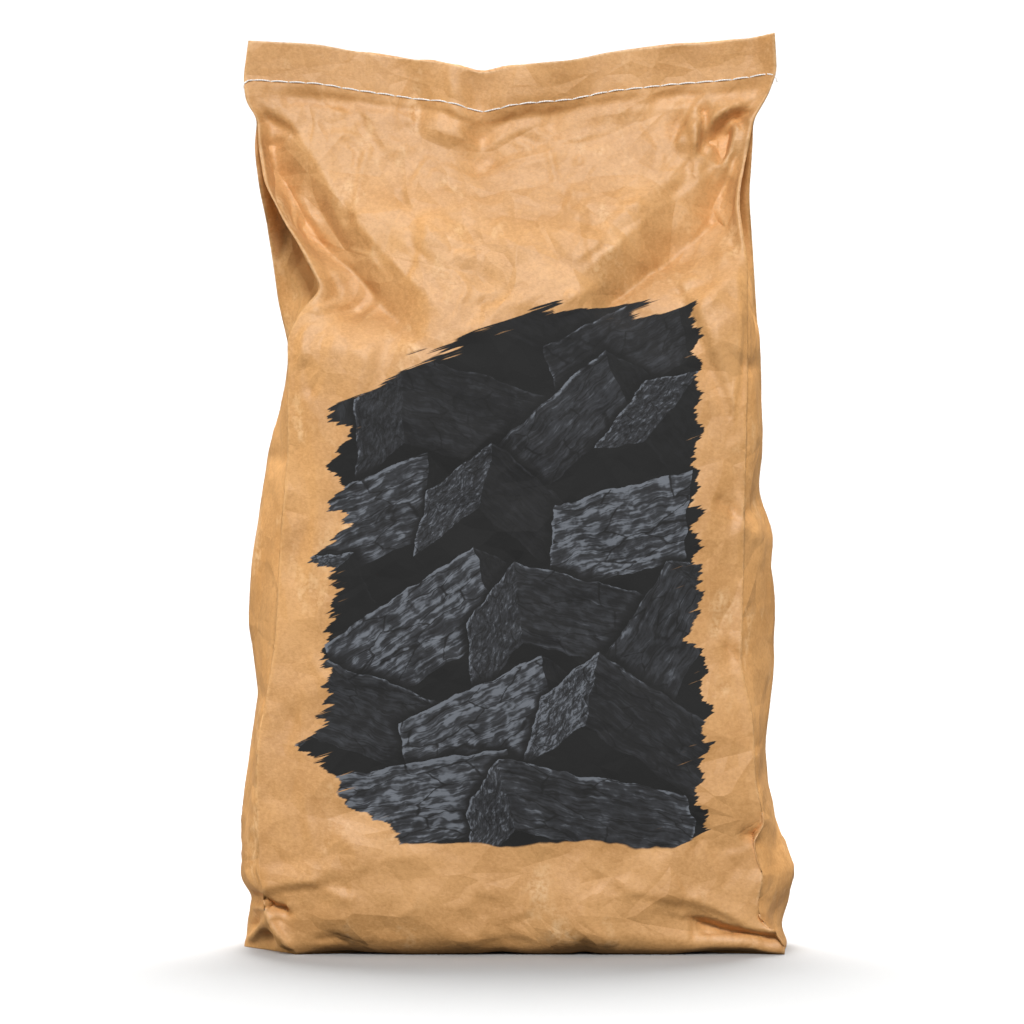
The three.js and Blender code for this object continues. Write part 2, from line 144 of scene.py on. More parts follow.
# folds of the front: height in mm (minus is a valley), widths on both sides in photo pixels,
# profile (a power or a name), and points in photo pixels
frontFolds = {
    "seamCrease": (-1.4, 4, 10, 1.2, [(250, 95), (300, 94), (345, 98), (400, 108), (445, 112), (481, 127),
        (520, 117), (560, 112), (590, 103), (640, 97), (725, 92), (770, 86)]),
    "seamRollLeft": (0.9, 8, 8, 1.6, [(252, 108), (300, 106), (350, 112), (420, 122)]),
    "seamRollRight": (0.9, 8, 8, 1.6, [(570, 122), (610, 112), (680, 106), (740, 98)]),
    "stripTab": (4.5, 12, 7, 1.5, [(447, 62), (452, 80), (450, 100)]),
    "stripValley": (-6, 6, 12, 1.4, [(468, 68), (474, 90), (481, 112)]),
    "stripLip": (2, 6, 6, 1.4, [(470, 97), (484, 100), (510, 97), (560, 92)]),
    "stripHollow": (-4, 14, 14, 2, [(395, 60), (420, 98)]),
    "stripEnd": (-3, 8, 8, 1.6, [(744, 42), (758, 70)]),
    "leftValley": (-15, 36, 88, "ledge", [(238, 76), (262, 102), (289, 122), (303, 142), (322, 172),
        (351, 217), (370, 236), (400, 268), (430, 300), (452, 322)]),
    "leftValleyLow": (-1.8, 9, 14, "tent", [(300, 168), (318, 196), (338, 232), (352, 252)]),
    "leftNotch": (-2.6, 5, 9, "tent", [(256, 113), (272, 118), (288, 126), (298, 138)]),
    "leftShoulder": (0.9, 9, 6, "tent", [(371, 138), (362, 168), (353, 214)]),
    "leftShoulderLow": (0.8, 12, 12, "tent", [(354, 216), (380, 246), (408, 272)]),
    "leftTopCrease": (1.5, 8, 10, "tent", [(330, 110), (352, 118), (360, 128)]),
    "leftEdgeCrease": (-2, 5, 8, "tent", [(257, 140), (272, 138), (284, 136)]),
    "leftFoldRidge": (1, 5, 7, "tent", [(260, 176), (282, 216), (300, 246), (312, 266)]),
    "leftDent": (-1.1, 6, 9, "tent", [(298, 219), (312, 226), (324, 228)]),
    "leftFacet": (1.2, 7, 7, "tent", [(294, 186), (308, 204), (318, 218)]),
    "leftPoint": (-1.6, 6, 9, "tent", [(340, 196), (346, 208), (352, 217)]),
    "chevronTop": (-1.6, 7, 10, "tent", [(436, 106), (462, 122), (481, 139), (497, 126), (518, 114)]),
    "chevronRidge": (1, 8, 7, "tent", [(430, 122), (460, 138), (480, 153), (505, 136), (540, 122)]),
    "chevronLow": (-1, 9, 8, "tent", [(428, 138), (456, 152), (478, 167), (510, 152), (556, 136)]),
    "chevronFoot": (1.2, 8, 18, "tent", [(404, 150), (440, 166), (476, 180), (520, 166), (575, 150)]),
    "middleValley": (-0.5, 5, 9, "tent", [(417, 208), (416, 240), (410, 270)]),
    "middleRidge": (0.4, 8, 5, "tent", [(430, 205), (424, 240), (414, 272)]),
    "middleFacet": (0.9, 6, 5, "tent", [(548, 146), (553, 170), (556, 186)]),
    "middleCrease": (-0.8, 5, 8, "tent", [(556, 186), (575, 198), (594, 196)]),
    "middleKnee": (0.8, 5, 8, "tent", [(560, 205), (580, 214), (592, 199)]),
    "middlePleat": (1, 6, 5, "tent", [(575, 262), (590, 250), (603, 242)]),
    "rightFacetValley": (-0.8, 5, 7, "tent", [(640, 118), (655, 140), (660, 160)]),
    "rightFacet": (1, 6, 6, "tent", [(650, 140), (662, 158), (656, 166)]),
    "rightValley": (-15, 38, 130, "ledge", [(560, 296), (585, 272), (616, 243), (650, 215), (700, 176),
        (738, 148), (764, 124)]),
    "rightShoulder": (1.4, 10, 10, "tent", [(690, 166), (660, 184), (625, 212), (600, 240)]),
    "pleatPeak": (3.4, 7, 18, "tent", [(674, 152), (688, 126), (698, 101)]),
    "pleatGap": (-5.5, 8, 5, "tent", [(702, 103), (705, 120), (704, 137), (698, 156)]),
    "pleatRidge": (3.6, 16, 5, "tent", [(704, 131), (722, 115), (746, 101)]),
    "pleatShadow": (-8.5, 8, 24, "flank", [(704, 142), (722, 124), (742, 108)]),
    "pleatFacet": (2.2, 9, 10, "tent", [(692, 138), (698, 158), (697, 176)]),
    "pleatFold": (-5, 6, 14, "flank", [(730, 122), (726, 142), (718, 164)]),
    "pleatOuter": (3.2, 8, 7, "tent", [(739, 116), (735, 134), (729, 154), (722, 172)]),
    "pleatPinch": (-4.5, 5, 6, "tent", [(736, 117), (744, 112), (753, 111)]),
    "rightEdgeRidge": (2, 5, 5, "tent", [(747, 108), (751, 120), (748, 150), (742, 178)]),
    "rightDrop": (-5, 9, 30, "flank", [(730, 168), (720, 186), (710, 212)]),
    "rightDent": (-2, 7, 14, "tent", [(676, 290), (694, 285), (710, 282)]),
    "rightDentRidge": (1.8, 12, 10, "tent", [(711, 282), (700, 304), (690, 336)]),
    "rightFlank": (1.4, 12, 12, "tent", [(738, 205), (728, 245), (714, 280)]),
    "pleatSwell": (4, 26, 26, 2, [(684, 140), (716, 128), (742, 112)]),
    "leftFill": (4.5, 52, 130, "flank", [(286, 350), (318, 347), (350, 352), (385, 362)]),
    "rightFill": (6.5, 105, 150, "flank", [(696, 336), (722, 326), (750, 330)]),
    "leftWaist": (-1.6, 8, 10, 1.3, [(303, 360), (308, 378), (312, 396)]),
    "leftWaistRidge": (1.2, 8, 8, 1.4, [(322, 300), (306, 330), (302, 362)]),
    "leftStar": (-2, 5, 8, 1.2, [(266, 450), (278, 462), (287, 457)]),
    "leftStarRidge": (1.4, 4, 5, 1.2, [(287, 457), (282, 490), (279, 528), (275, 580)]),
    "leftStarTop": (1, 6, 8, 1.3, [(300, 430), (293, 446), (288, 456)]),
    "leftBelly": (-1.2, 10, 10, 1.5, [(310, 520), (300, 545), (292, 590)]),
    "leftBellyRidge": (1, 6, 6, 1.3, [(275, 600), (273, 625), (276, 642), (270, 664), (266, 694)]),
    "leftLowNotch": (-1.6, 6, 6, 1.2, [(258, 692), (266, 700), (274, 696)]),
    "leftLowRidge": (1, 5, 5, 1.2, [(265, 700), (258, 716), (250, 734)]),
    "leftLowBelly": (-1, 8, 10, 1.4, [(300, 690), (290, 720), (284, 760)]),
    "rightFoldRidge": (1.4, 6, 6, 1.2, [(748, 232), (751, 270), (756, 310), (754, 350)]),
    "rightNick": (-2.2, 4, 5, 1.2, [(738, 362), (748, 369), (752, 358)]),
    "rightBody": (1.3, 6, 6, 1.3, [(750, 375), (752, 420), (750, 470), (752, 500)]),
    "rightStar": (-2.6, 5, 7, 1.2, [(716, 496), (732, 506), (746, 519)]),
    "rightStarOut": (-2, 5, 5, 1.2, [(746, 519), (756, 506), (761, 492)]),
    "rightStarLeg": (1.4, 6, 6, 1.3, [(744, 522), (738, 545), (736, 575)]),
    "rightStarKnee": (1.3, 6, 6, 1.3, [(752, 524), (760, 545), (758, 570)]),
    "rightKnee": (-2, 6, 8, 1.2, [(726, 640), (740, 658), (744, 674)]),
    "rightKneeRidge": (1.2, 5, 5, 1.2, [(741, 660), (750, 700), (756, 740), (757, 776)]),
    "rightLowNotch": (-1.6, 5, 6, 1.2, [(768, 740), (758, 746), (748, 742)]),
    "rightFootStar": (-2.8, 5, 7, 1.2, [(774, 822), (764, 834), (756, 839), (738, 834)]),
    "rightFootRidge": (1.6, 5, 6, 1.2, [(757, 842), (764, 858), (767, 878), (764, 905)]),
    "rightFootLeg": (1.2, 7, 7, 1.3, [(756, 842), (744, 852), (726, 856)]),
    "rightFootBelly": (-1, 8, 8, 1.4, [(742, 862), (730, 880), (722, 890)]),
    "leftTuckRidge": (3, 22, 9, "tent", [(256, 889), (280, 884), (303, 881), (326, 879)]),
    "leftTuckScuff": (1.6, 8, 12, "tent", [(322, 890), (340, 894), (356, 900)]),
    "leftTuckValley": (-6.5, 7, 6, "tent", [(246, 893), (260, 902), (275, 908), (290, 913)]),
    "leftTuckLip": (2.4, 5, 5, "tent", [(272, 903), (282, 906), (290, 908)]),
    "leftTuckLeg": (3.6, 6, 6, "tent", [(267, 919), (257, 931), (246, 947)]),
    "leftTuckFoot": (3.4, 6, 8, "tent", [(267, 919), (280, 937), (295, 956)]),
    "leftTuckHead": (2, 5, 5, "tent", [(266, 919), (278, 915), (290, 911)]),
    "leftTuckFace": (-4, 8, 8, "tent", [(269, 932), (270, 950)]),
    "leftTuckEdge": (-4, 7, 7, "tent", [(255, 908), (252, 930)]),
    "leftTuckBase": (-1.4, 8, 6, "tent", [(312, 941), (335, 938), (352, 946)]),
    "leftTuckTop": (1.2, 14, 14, "tent", [(330, 826), (352, 846), (370, 872)]),
    "rightTuckSoft": (-1.2, 7, 26, "flank", [(600, 884), (633, 898), (689, 911), (728, 924)]),
    "rightTuckDeep": (-8.5, 6, 16, "flank", [(690, 920), (728, 930), (754, 936), (788, 939)]),
    "rightTuckLip": (2.8, 8, 8, "tent", [(692, 950), (728, 946), (756, 940), (782, 936)]),
    "rightTuckRidge": (1.8, 14, 6, "tent", [(680, 894), (720, 910), (752, 926)]),
    "rightTuckCrease": (-1.4, 4, 4, "tent", [(692, 918), (694, 932), (695, 947)]),
    "rightTuckPinch": (-3, 4, 5, "tent", [(758, 914), (768, 922), (784, 929)]),
    "rightTuckRoll": (2.4, 4, 4, "tent", [(764, 931), (776, 931), (788, 930)]),
    "footArch": (-1.4, 10, 8, 1.6, [(478, 950), (505, 944), (535, 951)]),
    "footNick": (-1.2, 8, 6, 1.5, [(574, 952), (584, 946), (594, 952)]),
}

# dents of the front: depth in mm, then radius, lean in degrees and place in photo pixels
frontDents = {
    "leftShoulder": (2.6, 9, 150, (350, 216)),
    "middleLeft": (1.6, 8, 160, (407, 271)),
    "middleRight": (1.2, 7, 20, (595, 196)),
    "middleKnee": (1.6, 8, 300, (602, 243)),
    "middleTop": (1, 7, 250, (546, 142)),
    "rightDrop": (2.4, 10, 110, (718, 208)),
    "rightFlank": (2.2, 12, 150, (711, 283)),
    "leftWaist": (2, 10, 90, (311, 396)),
    "leftStar": (2.6, 8, 120, (287, 456)),
    "rightNick": (2.6, 7, 90, (748, 368)),
    "rightStar": (3, 9, 120, (745, 519)),
    "rightKnee": (2.4, 9, 110, (741, 658)),
    "rightFoot": (3, 9, 60, (757, 838)),
    "leftTuck": (5.5, 8, 200, (285, 910)),
    "leftPinch": (0.5, 6, 200, (312, 287)),
    "heart": (0.6, 9, 90, (470, 246)),
    "collar": (0.4, 8, 40, (520, 286)),
    "pleat": (1.4, 8, 200, (695, 150)),
}


def ease(value, low, high):
    share = np.clip((value - low) / (high - low), 0, 1)
    return share * share * (3 - 2 * share)


def softLine(name):             # one of the sack's broken lines, with its corners rounded
    points, blur = sack[name], sack["blurs"].get(name, sack["blur"])
    step = 0.5
    places = np.arange(points[0][0], points[-1][0] + step, step)
    values = np.interp(places, *np.array(points, float).T)
    reach = int(3 * blur / step)
    weights = np.exp(-0.5 * (np.arange(-reach, reach + 1) * step / blur) ** 2)
    padded = np.concatenate([2 * values[0] - values[reach:0:-1], values,
                             2 * values[-1] - values[-2:-reach - 2:-1]])
    values = np.convolve(padded, weights / weights.sum(), "valid")
    return lambda at: np.interp(at, places, values)


def sackColumns():              # once round the paper tube: panel name and share across it
    front = np.linspace(0, 1, sack["frontColumns"] + 1)
    side = np.linspace(0, 1, sack["gussetColumns"] + 1)
    back = np.linspace(1, 0, sack["backColumns"] + 1)
    columns = [("front", share) for share in front] + [("frontRightFold", 0)]
    columns += [("rightGusset", share) for share in side] + [("backRightFold", 0)]
    columns += [("back", share) for share in back] + [("backLeftFold", 0)]
    columns += [("leftGusset", share) for share in side[::-1]] + [("frontLeftFold", 0)]
    return columns


def sackRows():                 # height, ring size and inside share, from the foot up and into the slit
    rows = [(0, ring, 0) for ring in sack["footRings"]]
    rows += [(height, 1, 0) for height in sack["footHeights"]]
    height = sack["firstRow"]
    while height < sack["mouth"] - sack["lastGap"]:
        rows.append((height, 1, 0))
        fine = height < sack["fineBelow"] or height > sack["fineAbove"]
        height += sack["fineRow"] if fine else sack["coarseRow"]
    rows.append((sack["mouth"], 1, 0))
    slitFoot = sack["mouth"] - sack["slitDepth"]
    rows += [(height, 1, 1) for height, ring, inside in rows[::-1] if height > slitFoot]
    return np.array(rows)


def sackSurface(columns, rows):
    line = {name: softLine(name)(rows[:, 0]) for name in (
        "frontLeft", "leftGusset", "backLeft", "frontRight", "rightGusset", "backRight",
        "edgeDepth", "frontDepth", "backDepth")}
    edge, fold = line["edgeDepth"], sack["fold"]
    inner = edge - 2 * fold - sack["foldGap"]
    places = np.zeros((len(rows), len(columns), 3))

    def gusset(frontLine, middleLine, backLine, share, outward):
        frontEdge, backEdge = frontLine - outward * fold, backLine - outward * fold
        middle = (frontEdge + backEdge) / 2
        bulge = middleLine - middle
        roundness = 1 + ease(bulge * outward, *sack["bulge"]) * ease(rows[:, 0], *sack["bulgeHeights"])
        bow = 1 - np.abs(2 * share - 1) ** roundness
        return frontEdge + (backEdge - frontEdge) * share + bulge * bow

    def footInset(middle):      # how far the panel rolls under at the foot
        inset = np.interp(middle, (0, 1), sack["footInset"])
        rise = np.interp(middle, (0, 1), sack["footRise"])
        return inset * (1 - np.sqrt(1 - np.clip(1 - rows[:, 0] / rise, 0, 1) ** 2))

    for number, (panel, share) in enumerate(columns):
        if panel in ("front", "back"):
            left, right, depth = [line[panel + part] for part in ("Left", "Right", "Depth")]
            way = 1 if panel == "back" else -1
            x = left + fold + (right - left - 2 * fold) * share
            bow = 1 - abs(2 * share - 1) ** sack["crown"]
            y = way * (edge + (depth - edge) * bow - footInset(bow))
        elif panel.endswith("Fold"):
            x = line[panel.removesuffix("Fold")]
            y = (edge - fold) * (-1 if panel.startswith("front") else 1)
        else:
            side, outward = ("Right", 1) if panel == "rightGusset" else ("Left", -1)
            x = gusset(line["front" + side], line[panel], line["back" + side], share, outward)
            y = -inner + 2 * inner * share
        places[:, number, 0], places[:, number, 1] = x, y

    places[:, :, :2] *= rows[:, 1][:, None, None]
    along = np.roll(places, -1, 1) - np.roll(places, 1, 1)
    length = np.maximum(np.hypot(along[:, :, 0], along[:, :, 1]), 1e-6)
    inside = rows[:, 2][:, None] * sack["ply"]
    places[:, :, 0] -= inside * along[:, :, 1] / length
    places[:, :, 1] += inside * along[:, :, 0] / length
    x, height = places[:, :, 0], np.repeat(rows[:, :1], len(columns), 1)
    places[:, :, 1] += ease(height, sack["waveStart"], sack["seam"]) * softLine("mouthWave")(x)
    strip = (height - sack["seam"]) / (sack["mouth"] - sack["seam"])
    places[:, :, 1] += np.maximum(strip, 0) ** sack["leanPower"] * softLine("mouthLean")(x)
    places[:, :, 2] = height - ease(height, sack["sagStart"], sack["seam"]) * softLine("mouthSag")(x)
    isFront, isBack = [np.array([panel == name for panel, share in columns]) for name in ("front", "back")]
    lifted = isFront * (1 - ease(height, 0, sack["liftHeight"])) * rows[:, 1:2] ** 4
    places[:, :, 2] += lifted * softLine("footLift")(x)
    places[:, :, 2] += isBack * ease(strip, sack["riseStart"], 1) * softLine("backRise")(x)
    return places


def surfaceNormals(places):
    along = np.roll(places, -1, 1) - np.roll(places, 1, 1)
    up = np.gradient(places, axis=0)
    normals = np.cross(along, up)
    return normals / np.maximum(np.linalg.norm(normals, axis=2, keepdims=True), 1e-9)


def nearLine(x, z, points):     # distance to a broken line, which side of it, and how far along it
    best = np.full(x.shape, 1e9)
    side, along = np.zeros(x.shape), np.zeros(x.shape)
    lengths = [math.dist(a, b) for a, b in zip(points, points[1:])]
    done = 0
    for a, b, length in zip(points, points[1:], lengths):
        dx, dz = (b[0] - a[0]) / length, (b[1] - a[1]) / length
        run = np.clip((x - a[0]) * dx + (z - a[1]) * dz, 0, length)
        distance = np.hypot(x - a[0] - run * dx, z - a[1] - run * dz)
        closer = distance < best
        best[closer] = distance[closer]
        side[closer] = (dx * (z - a[1]) - dz * (x - a[0]))[closer]
        along[closer] = ((done + run) / sum(lengths))[closer]
        done += length
    return best, side, along


foldShape = {
    "fade": 0.2, "endShare": 0.2,           # share of the length that fades, and height left at the ends
    "slowPower": 1.4,                       # of a flank's slow side
    "dentLobe": 0.9, "dentLeast": 0.25,     # how far a dent leans, and its least reach
    "facing": (0.05, 0.4),                  # how squarely the paper has to face the front
}


def foldHeight(x, z, amount, above, below, power, points):
    distance, side, along = nearLine(x, z, points)
    fade = ease(along, 0, foldShape["fade"]) * ease(1 - along, 0, foldShape["fade"])
    if power != "ledge":
        fade = foldShape["endShare"] + (1 - foldShape["endShare"]) * fade
    tent = np.maximum(1 - distance / np.where(side > 0, above, below), 0)
    if power == "tent":
        profile = tent
    elif power == "flank":      # a crisp flank above the line and a slow rise below it
        profile = np.where(side > 0, tent, np.exp(-(distance / below) ** foldShape["slowPower"]))
    elif power == "ledge":      # a crest on the line, a fall as far as above and a rise that ends at below
        profile = np.where(side > 0, 0, np.interp(distance, (0, above, below), (0, 1, 0)))
    else:
        profile = np.exp(-(distance / np.where(side > 0, above, below)) ** power)
    return amount * fade * profile


def dentHeight(x, z, depth, radius, lean, place):
    dx, dz = x - place[0], z - place[1]
    away = np.hypot(dx, dz) + 1e-6
    turn = math.radians(lean)
    lobe = 1 + foldShape["dentLobe"] * (dx * math.cos(turn) + dz * math.sin(turn)) / away
    return -depth * np.exp(-away / (radius * np.maximum(lobe, foldShape["dentLeast"])))


def frontRelief(places, normals):
    k = view["distance"] / (view["distance"] + places[:, :, 1])
    x = view["axisX"] + (places[:, :, 0] - view["axisX"]) * k
    z = view["axisZ"] + (places[:, :, 2] - view["axisZ"]) * k
    relief = np.zeros(x.shape)
    pixel = view["mmPerPixel"]
    for amount, above, below, power, pixels in frontFolds.values():
        points = [photoPoint(p) for p in pixels]
        relief += foldHeight(x, z, amount, above * pixel, below * pixel, power, points)
    for depth, radius, lean, place in frontDents.values():
        relief += dentHeight(x, z, depth, radius * pixel, lean, photoPoint(place))
    return relief * ease(-normals[:, :, 1], *foldShape["facing"])


# creases that handling leaves all round: number, lengths, widths and heights in mm
crumple = {
    "seed": 11,
    "facets": (210, (24, 90), (6, 22), (0.4, 1.7)),
    "creases": (420, (8, 34), (1.8, 5.0), (0.2, 0.75)),
    "bands": [(0.45, (20, 450)), (0.8, (320, 450)), (1, (6, 80))],  # share so far, and its heights
    "bend": 0.25, "fade": 0.35, "endShare": 0.2, "reach": 24,
    "printCalm": 0.35,                      # share that is left under the print
    "calmZone": {"half": 100, "halfSoft": 25, "foot": (50, 80), "top": 330, "topSoft": 40},
    "topShare": 1.7, "topHeights": (300, 370),      # stronger above the fill
    "waves": [(75, 2.8), (30, 0.9), (12, 0.25)],    # size and height in mm
    "foldShare": 0.2, "foldReach": 7.5,     # share left on the pressed folds, and mm to where it is full
    "foldHeights": (60, 90),
    # where the stitches gather the paper: height, size across and up, and the heights it lies between
    "pucker": {"rise": 1.1, "size": (6, 30), "slice": 5, "foot": (429, 445), "top": (450.5, 453.5)},
}


def crumpleRelief(around, height, calm):
    pick = random.Random(crumple["seed"])
    relief = np.zeros(around.shape)
    girth = around.max()
    for kind in ("facets", "creases"):
        number, lengths, widths, heights = crumple[kind]
        for _ in range(number):
            u, end = pick.uniform(0, girth), pick.random()
            v = pick.uniform(*next(span for upTo, span in crumple["bands"] if end < upTo))
            turn, length = pick.uniform(0, math.pi), pick.uniform(*lengths)
            bend = pick.uniform(-crumple["bend"], crumple["bend"]) * length
            du, dv = math.cos(turn) * length / 2, math.sin(turn) * length / 2
            middle = (u - bend * math.sin(turn), v + bend * math.cos(turn))
            points = [(u - du, v - dv), middle, (u + du, v + dv)]
            above, below = pick.uniform(*widths), pick.uniform(*widths)
            amount = pick.choice((-1, 1)) * pick.uniform(*heights)
            reach = length / 2 + crumple["reach"]
            near = (np.abs(around - u) < reach) & (np.abs(height - v) < reach)
            distance, side, along = nearLine(around[near], height[near], points)
            tent = np.maximum(1 - distance / np.where(side > 0, above, below), 0)
            fade = ease(along, 0, crumple["fade"]) * ease(1 - along, 0, crumple["fade"])
            relief[near] += amount * tent * (fade * (1 - crumple["endShare"]) + crumple["endShare"])
    return relief * calm


def waveRelief(places):
    relief = np.zeros(places.shape[:2])
    flat = places.reshape(-1, 3)
    for size, rise in crumple["waves"]:
        relief += rise * np.array([noise.noise(Vector(p / size)) for p in flat]).reshape(relief.shape)
    return relief


def puckerRelief(around, height):       # short upright folds where the stitches draw the paper in
    pucker = crumple["pucker"]
    across, up = pucker["size"]
    band = ease(height, *pucker["foot"]) * (1 - ease(height, *pucker["top"]))
    spots = [Vector((u / across, v / up, pucker["slice"])) for u, v in zip(around.ravel(), height.ravel())]
    return band * pucker["rise"] * np.array([noise.noise(spot) for spot in spots]).reshape(around.shape)


def foldHold(columns, steps, height):   # the tube's pressed folds stay straighter than its panels
    run = np.concatenate([[0], np.cumsum(steps)])
    folds = [n for n, (panel, share) in enumerate(columns) if panel.endswith("Fold")] + [0]
    near = np.min([np.abs(run - run[n]) for n in folds], axis=0)[None, :]
    pressed = (1 - crumple["foldShare"]) * (1 - ease(near, 0, crumple["foldReach"]))
    return 1 - pressed * ease(height, *crumple["foldHeights"])


def giveWay(y, limit):                  # pushed back to the limit, with the push spread softly round it
    need = np.maximum(limit - y, 0)
    push = need
    for _ in range(sack["layerRounds"]):
        wide = np.pad(push, 1)
        push = np.maximum(need, (wide[:-2, 1:-1] + wide[2:, 1:-1] + wide[1:-1, :-2] + wide[1:-1, 2:]) / 4)
    return y + push


def keepLayers(places, columns, rows):  # each ply gives way to those in front where the tube is pressed flat
    panels = np.array([panel for panel, share in columns])
    shares = np.array([share for panel, share in columns])
    top = np.flatnonzero((rows[:, 2] == 0) & (rows[:, 0] > sack["sagStart"]))
    nowhere = -1e3
    for side in ("leftGusset", "rightGusset"):
        ahead, behind = (panels == side) & (shares <= 0.5), (panels == side) & (shares > 0.5)
        layers = [panels == "front", ahead, behind, panels == "back"]
        for number, layer in enumerate(layers[1:], 1):
            moved = places[np.ix_(top, layer)]
            limit = np.full(moved.shape[:2], nowhere)
            for nearer in layers[:number]:
                for line, row in enumerate(places[np.ix_(top, nearer)]):
                    row = row[np.argsort(row[:, 0])]
                    found = np.interp(moved[line, :, 0], row[:, 0], row[:, 1], left=nowhere, right=nowhere)
                    limit[line] = np.maximum(limit[line], found + sack["ply"] * sack["layerGap"])
            moved[:, :, 1] = giveWay(moved[:, :, 1], limit)
            places[np.ix_(top, layer)] = moved


def shifted(place):             # metres, with the sack moved to where the solids stand
    return (place[0] + sack["shift"][0]) * mm, (place[1] + sack["shift"][1]) * mm, place[2] * mm


def buildSack():
    columns, rows = sackColumns(), sackRows()
    places = sackSurface(columns, rows)
    normals = surfaceNormals(places)
    steps = np.linalg.norm(np.diff(places[len(rows) // 3], axis=0), axis=1)
    around = np.repeat(np.concatenate([[0], np.cumsum(steps)])[None, :], len(rows), 0)
    height = np.repeat(rows[:, :1], len(columns), 1)
    frontMiddle = around[0, sack["frontColumns"] // 2]
    zone = crumple["calmZone"]
    printed = ease(zone["half"] - np.abs(around - frontMiddle), 0, zone["halfSoft"])
    printed *= ease(height, *zone["foot"])
    printed *= ease(zone["top"] - height, 0, zone["topSoft"])
    calm = 1 - (1 - crumple["printCalm"]) * printed
    strong = 1 + (crumple["topShare"] - 1) * ease(height, *crumple["topHeights"])
    relief = crumpleRelief(around, height, calm * strong)
    relief += puckerRelief(around, height)
    relief += waveRelief(places)
    relief = (relief + frontRelief(places, normals)) * foldHold(columns, steps, height)
    outside = (rows[:, 2] == 0) & (rows[:, 1] == 1)
    hold = ease(rows[:, 0], *sack["footHold"]) * outside
    hold *= 1 - sack["stripShare"] * ease(rows[:, 0], *sack["stripHold"])
    start = places
    places = start + normals * (relief * hold[:, None])[:, :, None]
    keepLayers(places, columns, rows)
    outer = np.flatnonzero(outside)
    for number in np.flatnonzero(rows[:, 2] == 1):      # the inside of the slit goes along with the outside
        same = outer[rows[outer, 0] == rows[number, 0]][0]
        places[number] = start[number] + places[same] - start[same]

    girth = len(columns)
    bm = bmesh.new()
    bmesh.ops.create_grid(bm, x_segments=girth, y_segments=len(rows) - 1, size=1)   # the paper, laid flat
    bm.verts.ensure_lookup_table()
    paper = bm.loops.layers.uv.new("paper")
    fullRound = around[0, -1] + sack["fold"]
    grid = {}
    for vert in bm.verts:
        column = round((vert.co.x + 1) / 2 * girth)
        row = round((vert.co.y + 1) / 2 * (len(rows) - 1))
        grid[vert.index] = (column, row)
    for face in bm.faces:
        for loop in face.loops:
            column, row = grid[loop.vert.index]
            u = around[0, column] if column < girth else fullRound
            loop[paper].uv = ((u - frontMiddle) * mm, rows[row, 0] * mm)
        u, v = np.mean([loop[paper].uv for loop in face.loops], 0) / mm
        face.material_index = int(abs(u) < sack["printHalf"] and sack["printFoot"] < v < sack["printTop"])
    for vert in bm.verts:
        column, row = grid[vert.index]
        place = places[row, column % girth]
        vert.co = shifted(place)
    seam = [v for v in bm.verts if grid[v.index][0] in (0, girth)]
    bmesh.ops.remove_doubles(bm, verts=seam, dist=1e-6)     # the glued edge of the tube
    bmesh.ops.holes_fill(bm, edges=[e for e in bm.edges if e.is_boundary], sides=0)
    bmesh.ops.recalc_face_normals(bm, faces=bm.faces)
    for face in bm.faces:
        face.smooth = len(face.verts) == 4
    mesh = bpy.data.meshes.new("paperSack")
    bm.to_mesh(mesh)
    bm.free()
    piece = bpy.data.objects.new("paperSack", mesh)
    scene.collection.objects.link(piece)
    return piece, places, rows, columns


creaseMark = {"rounds": 2, "keep": 0.4}     # of smoothing


def markCreases(piece):         # how sharply the paper turns at each point: ridges above 0, valleys below
    mesh = piece.data
    count = len(mesh.vertices)
    place = np.zeros(count * 3)
    mesh.vertices.foreach_get("co", place)
    place = place.reshape(-1, 3)
    normal = np.zeros(count * 3)
    mesh.vertices.foreach_get("normal", normal)
    normal = normal.reshape(-1, 3)
    ends = np.zeros(len(mesh.edges) * 2, int)
    mesh.edges.foreach_get("vertices", ends)
    ends = ends.reshape(-1, 2)
    step = place[ends[:, 1]] - place[ends[:, 0]]
    square = np.maximum((step ** 2).sum(1), 1e-9)
    bend = np.zeros(count)
    number = np.zeros(count)
    for here, way in ((0, 1), (1, -1)):
        np.add.at(bend, ends[:, here], -way * (step * normal[ends[:, here]]).sum(1) / square)
        np.add.at(number, ends[:, here], 1)
    bend /= np.maximum(number, 1)
    for _ in range(creaseMark["rounds"]):
        total = np.zeros(count)
        for here, there in ((0, 1), (1, 0)):
            np.add.at(total, ends[:, here], bend[ends[:, there]])
        bend = creaseMark["keep"] * bend + (1 - creaseMark["keep"]) * total / np.maximum(number, 1)
    layer = mesh.attributes.new("crease", "FLOAT", "POINT")
    layer.data.foreach_set("value", bend * mm)      # per mm


sackPiece, sackPlaces, sackRowList, sackColumnList = buildSack()
markCreases(sackPiece)
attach(sackPiece, "root")
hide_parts("paper_sack")
print("paper sack:", len(sackPiece.data.polygons), "faces")


# closing thread: flat stitches on the front, a chain of loops behind
thread = {
    "first": -137.0, "last": 130.5, "stitches": 29, "plyRadius": 0.25, "plyOffset": 0.2,
    "twist": 2.6, "pointsPerTurn": 6,           # mm for each turn of the two plies
    "arch": 0.95, "rest": -0.45, "rise": 0.35, "pointsPerStitch": 10,
    "loopWidth": 1.1, "loopReach": 1.16, "loopPoints": 16, "loopLift": (0.35, 0.9), "loopTaper": (1.1, 0.3),
    "endRoom": 2.0, "tails": 6.0,
    # a tail's shares of its length outward, mm off the paper, and shares of its length down
    "tailRoute": [(0, 0.2, 0), (0.4, 1.0, 0.05), (0.75, 1.1, 0.3), (0.85, 0.6, 0.75)],
}


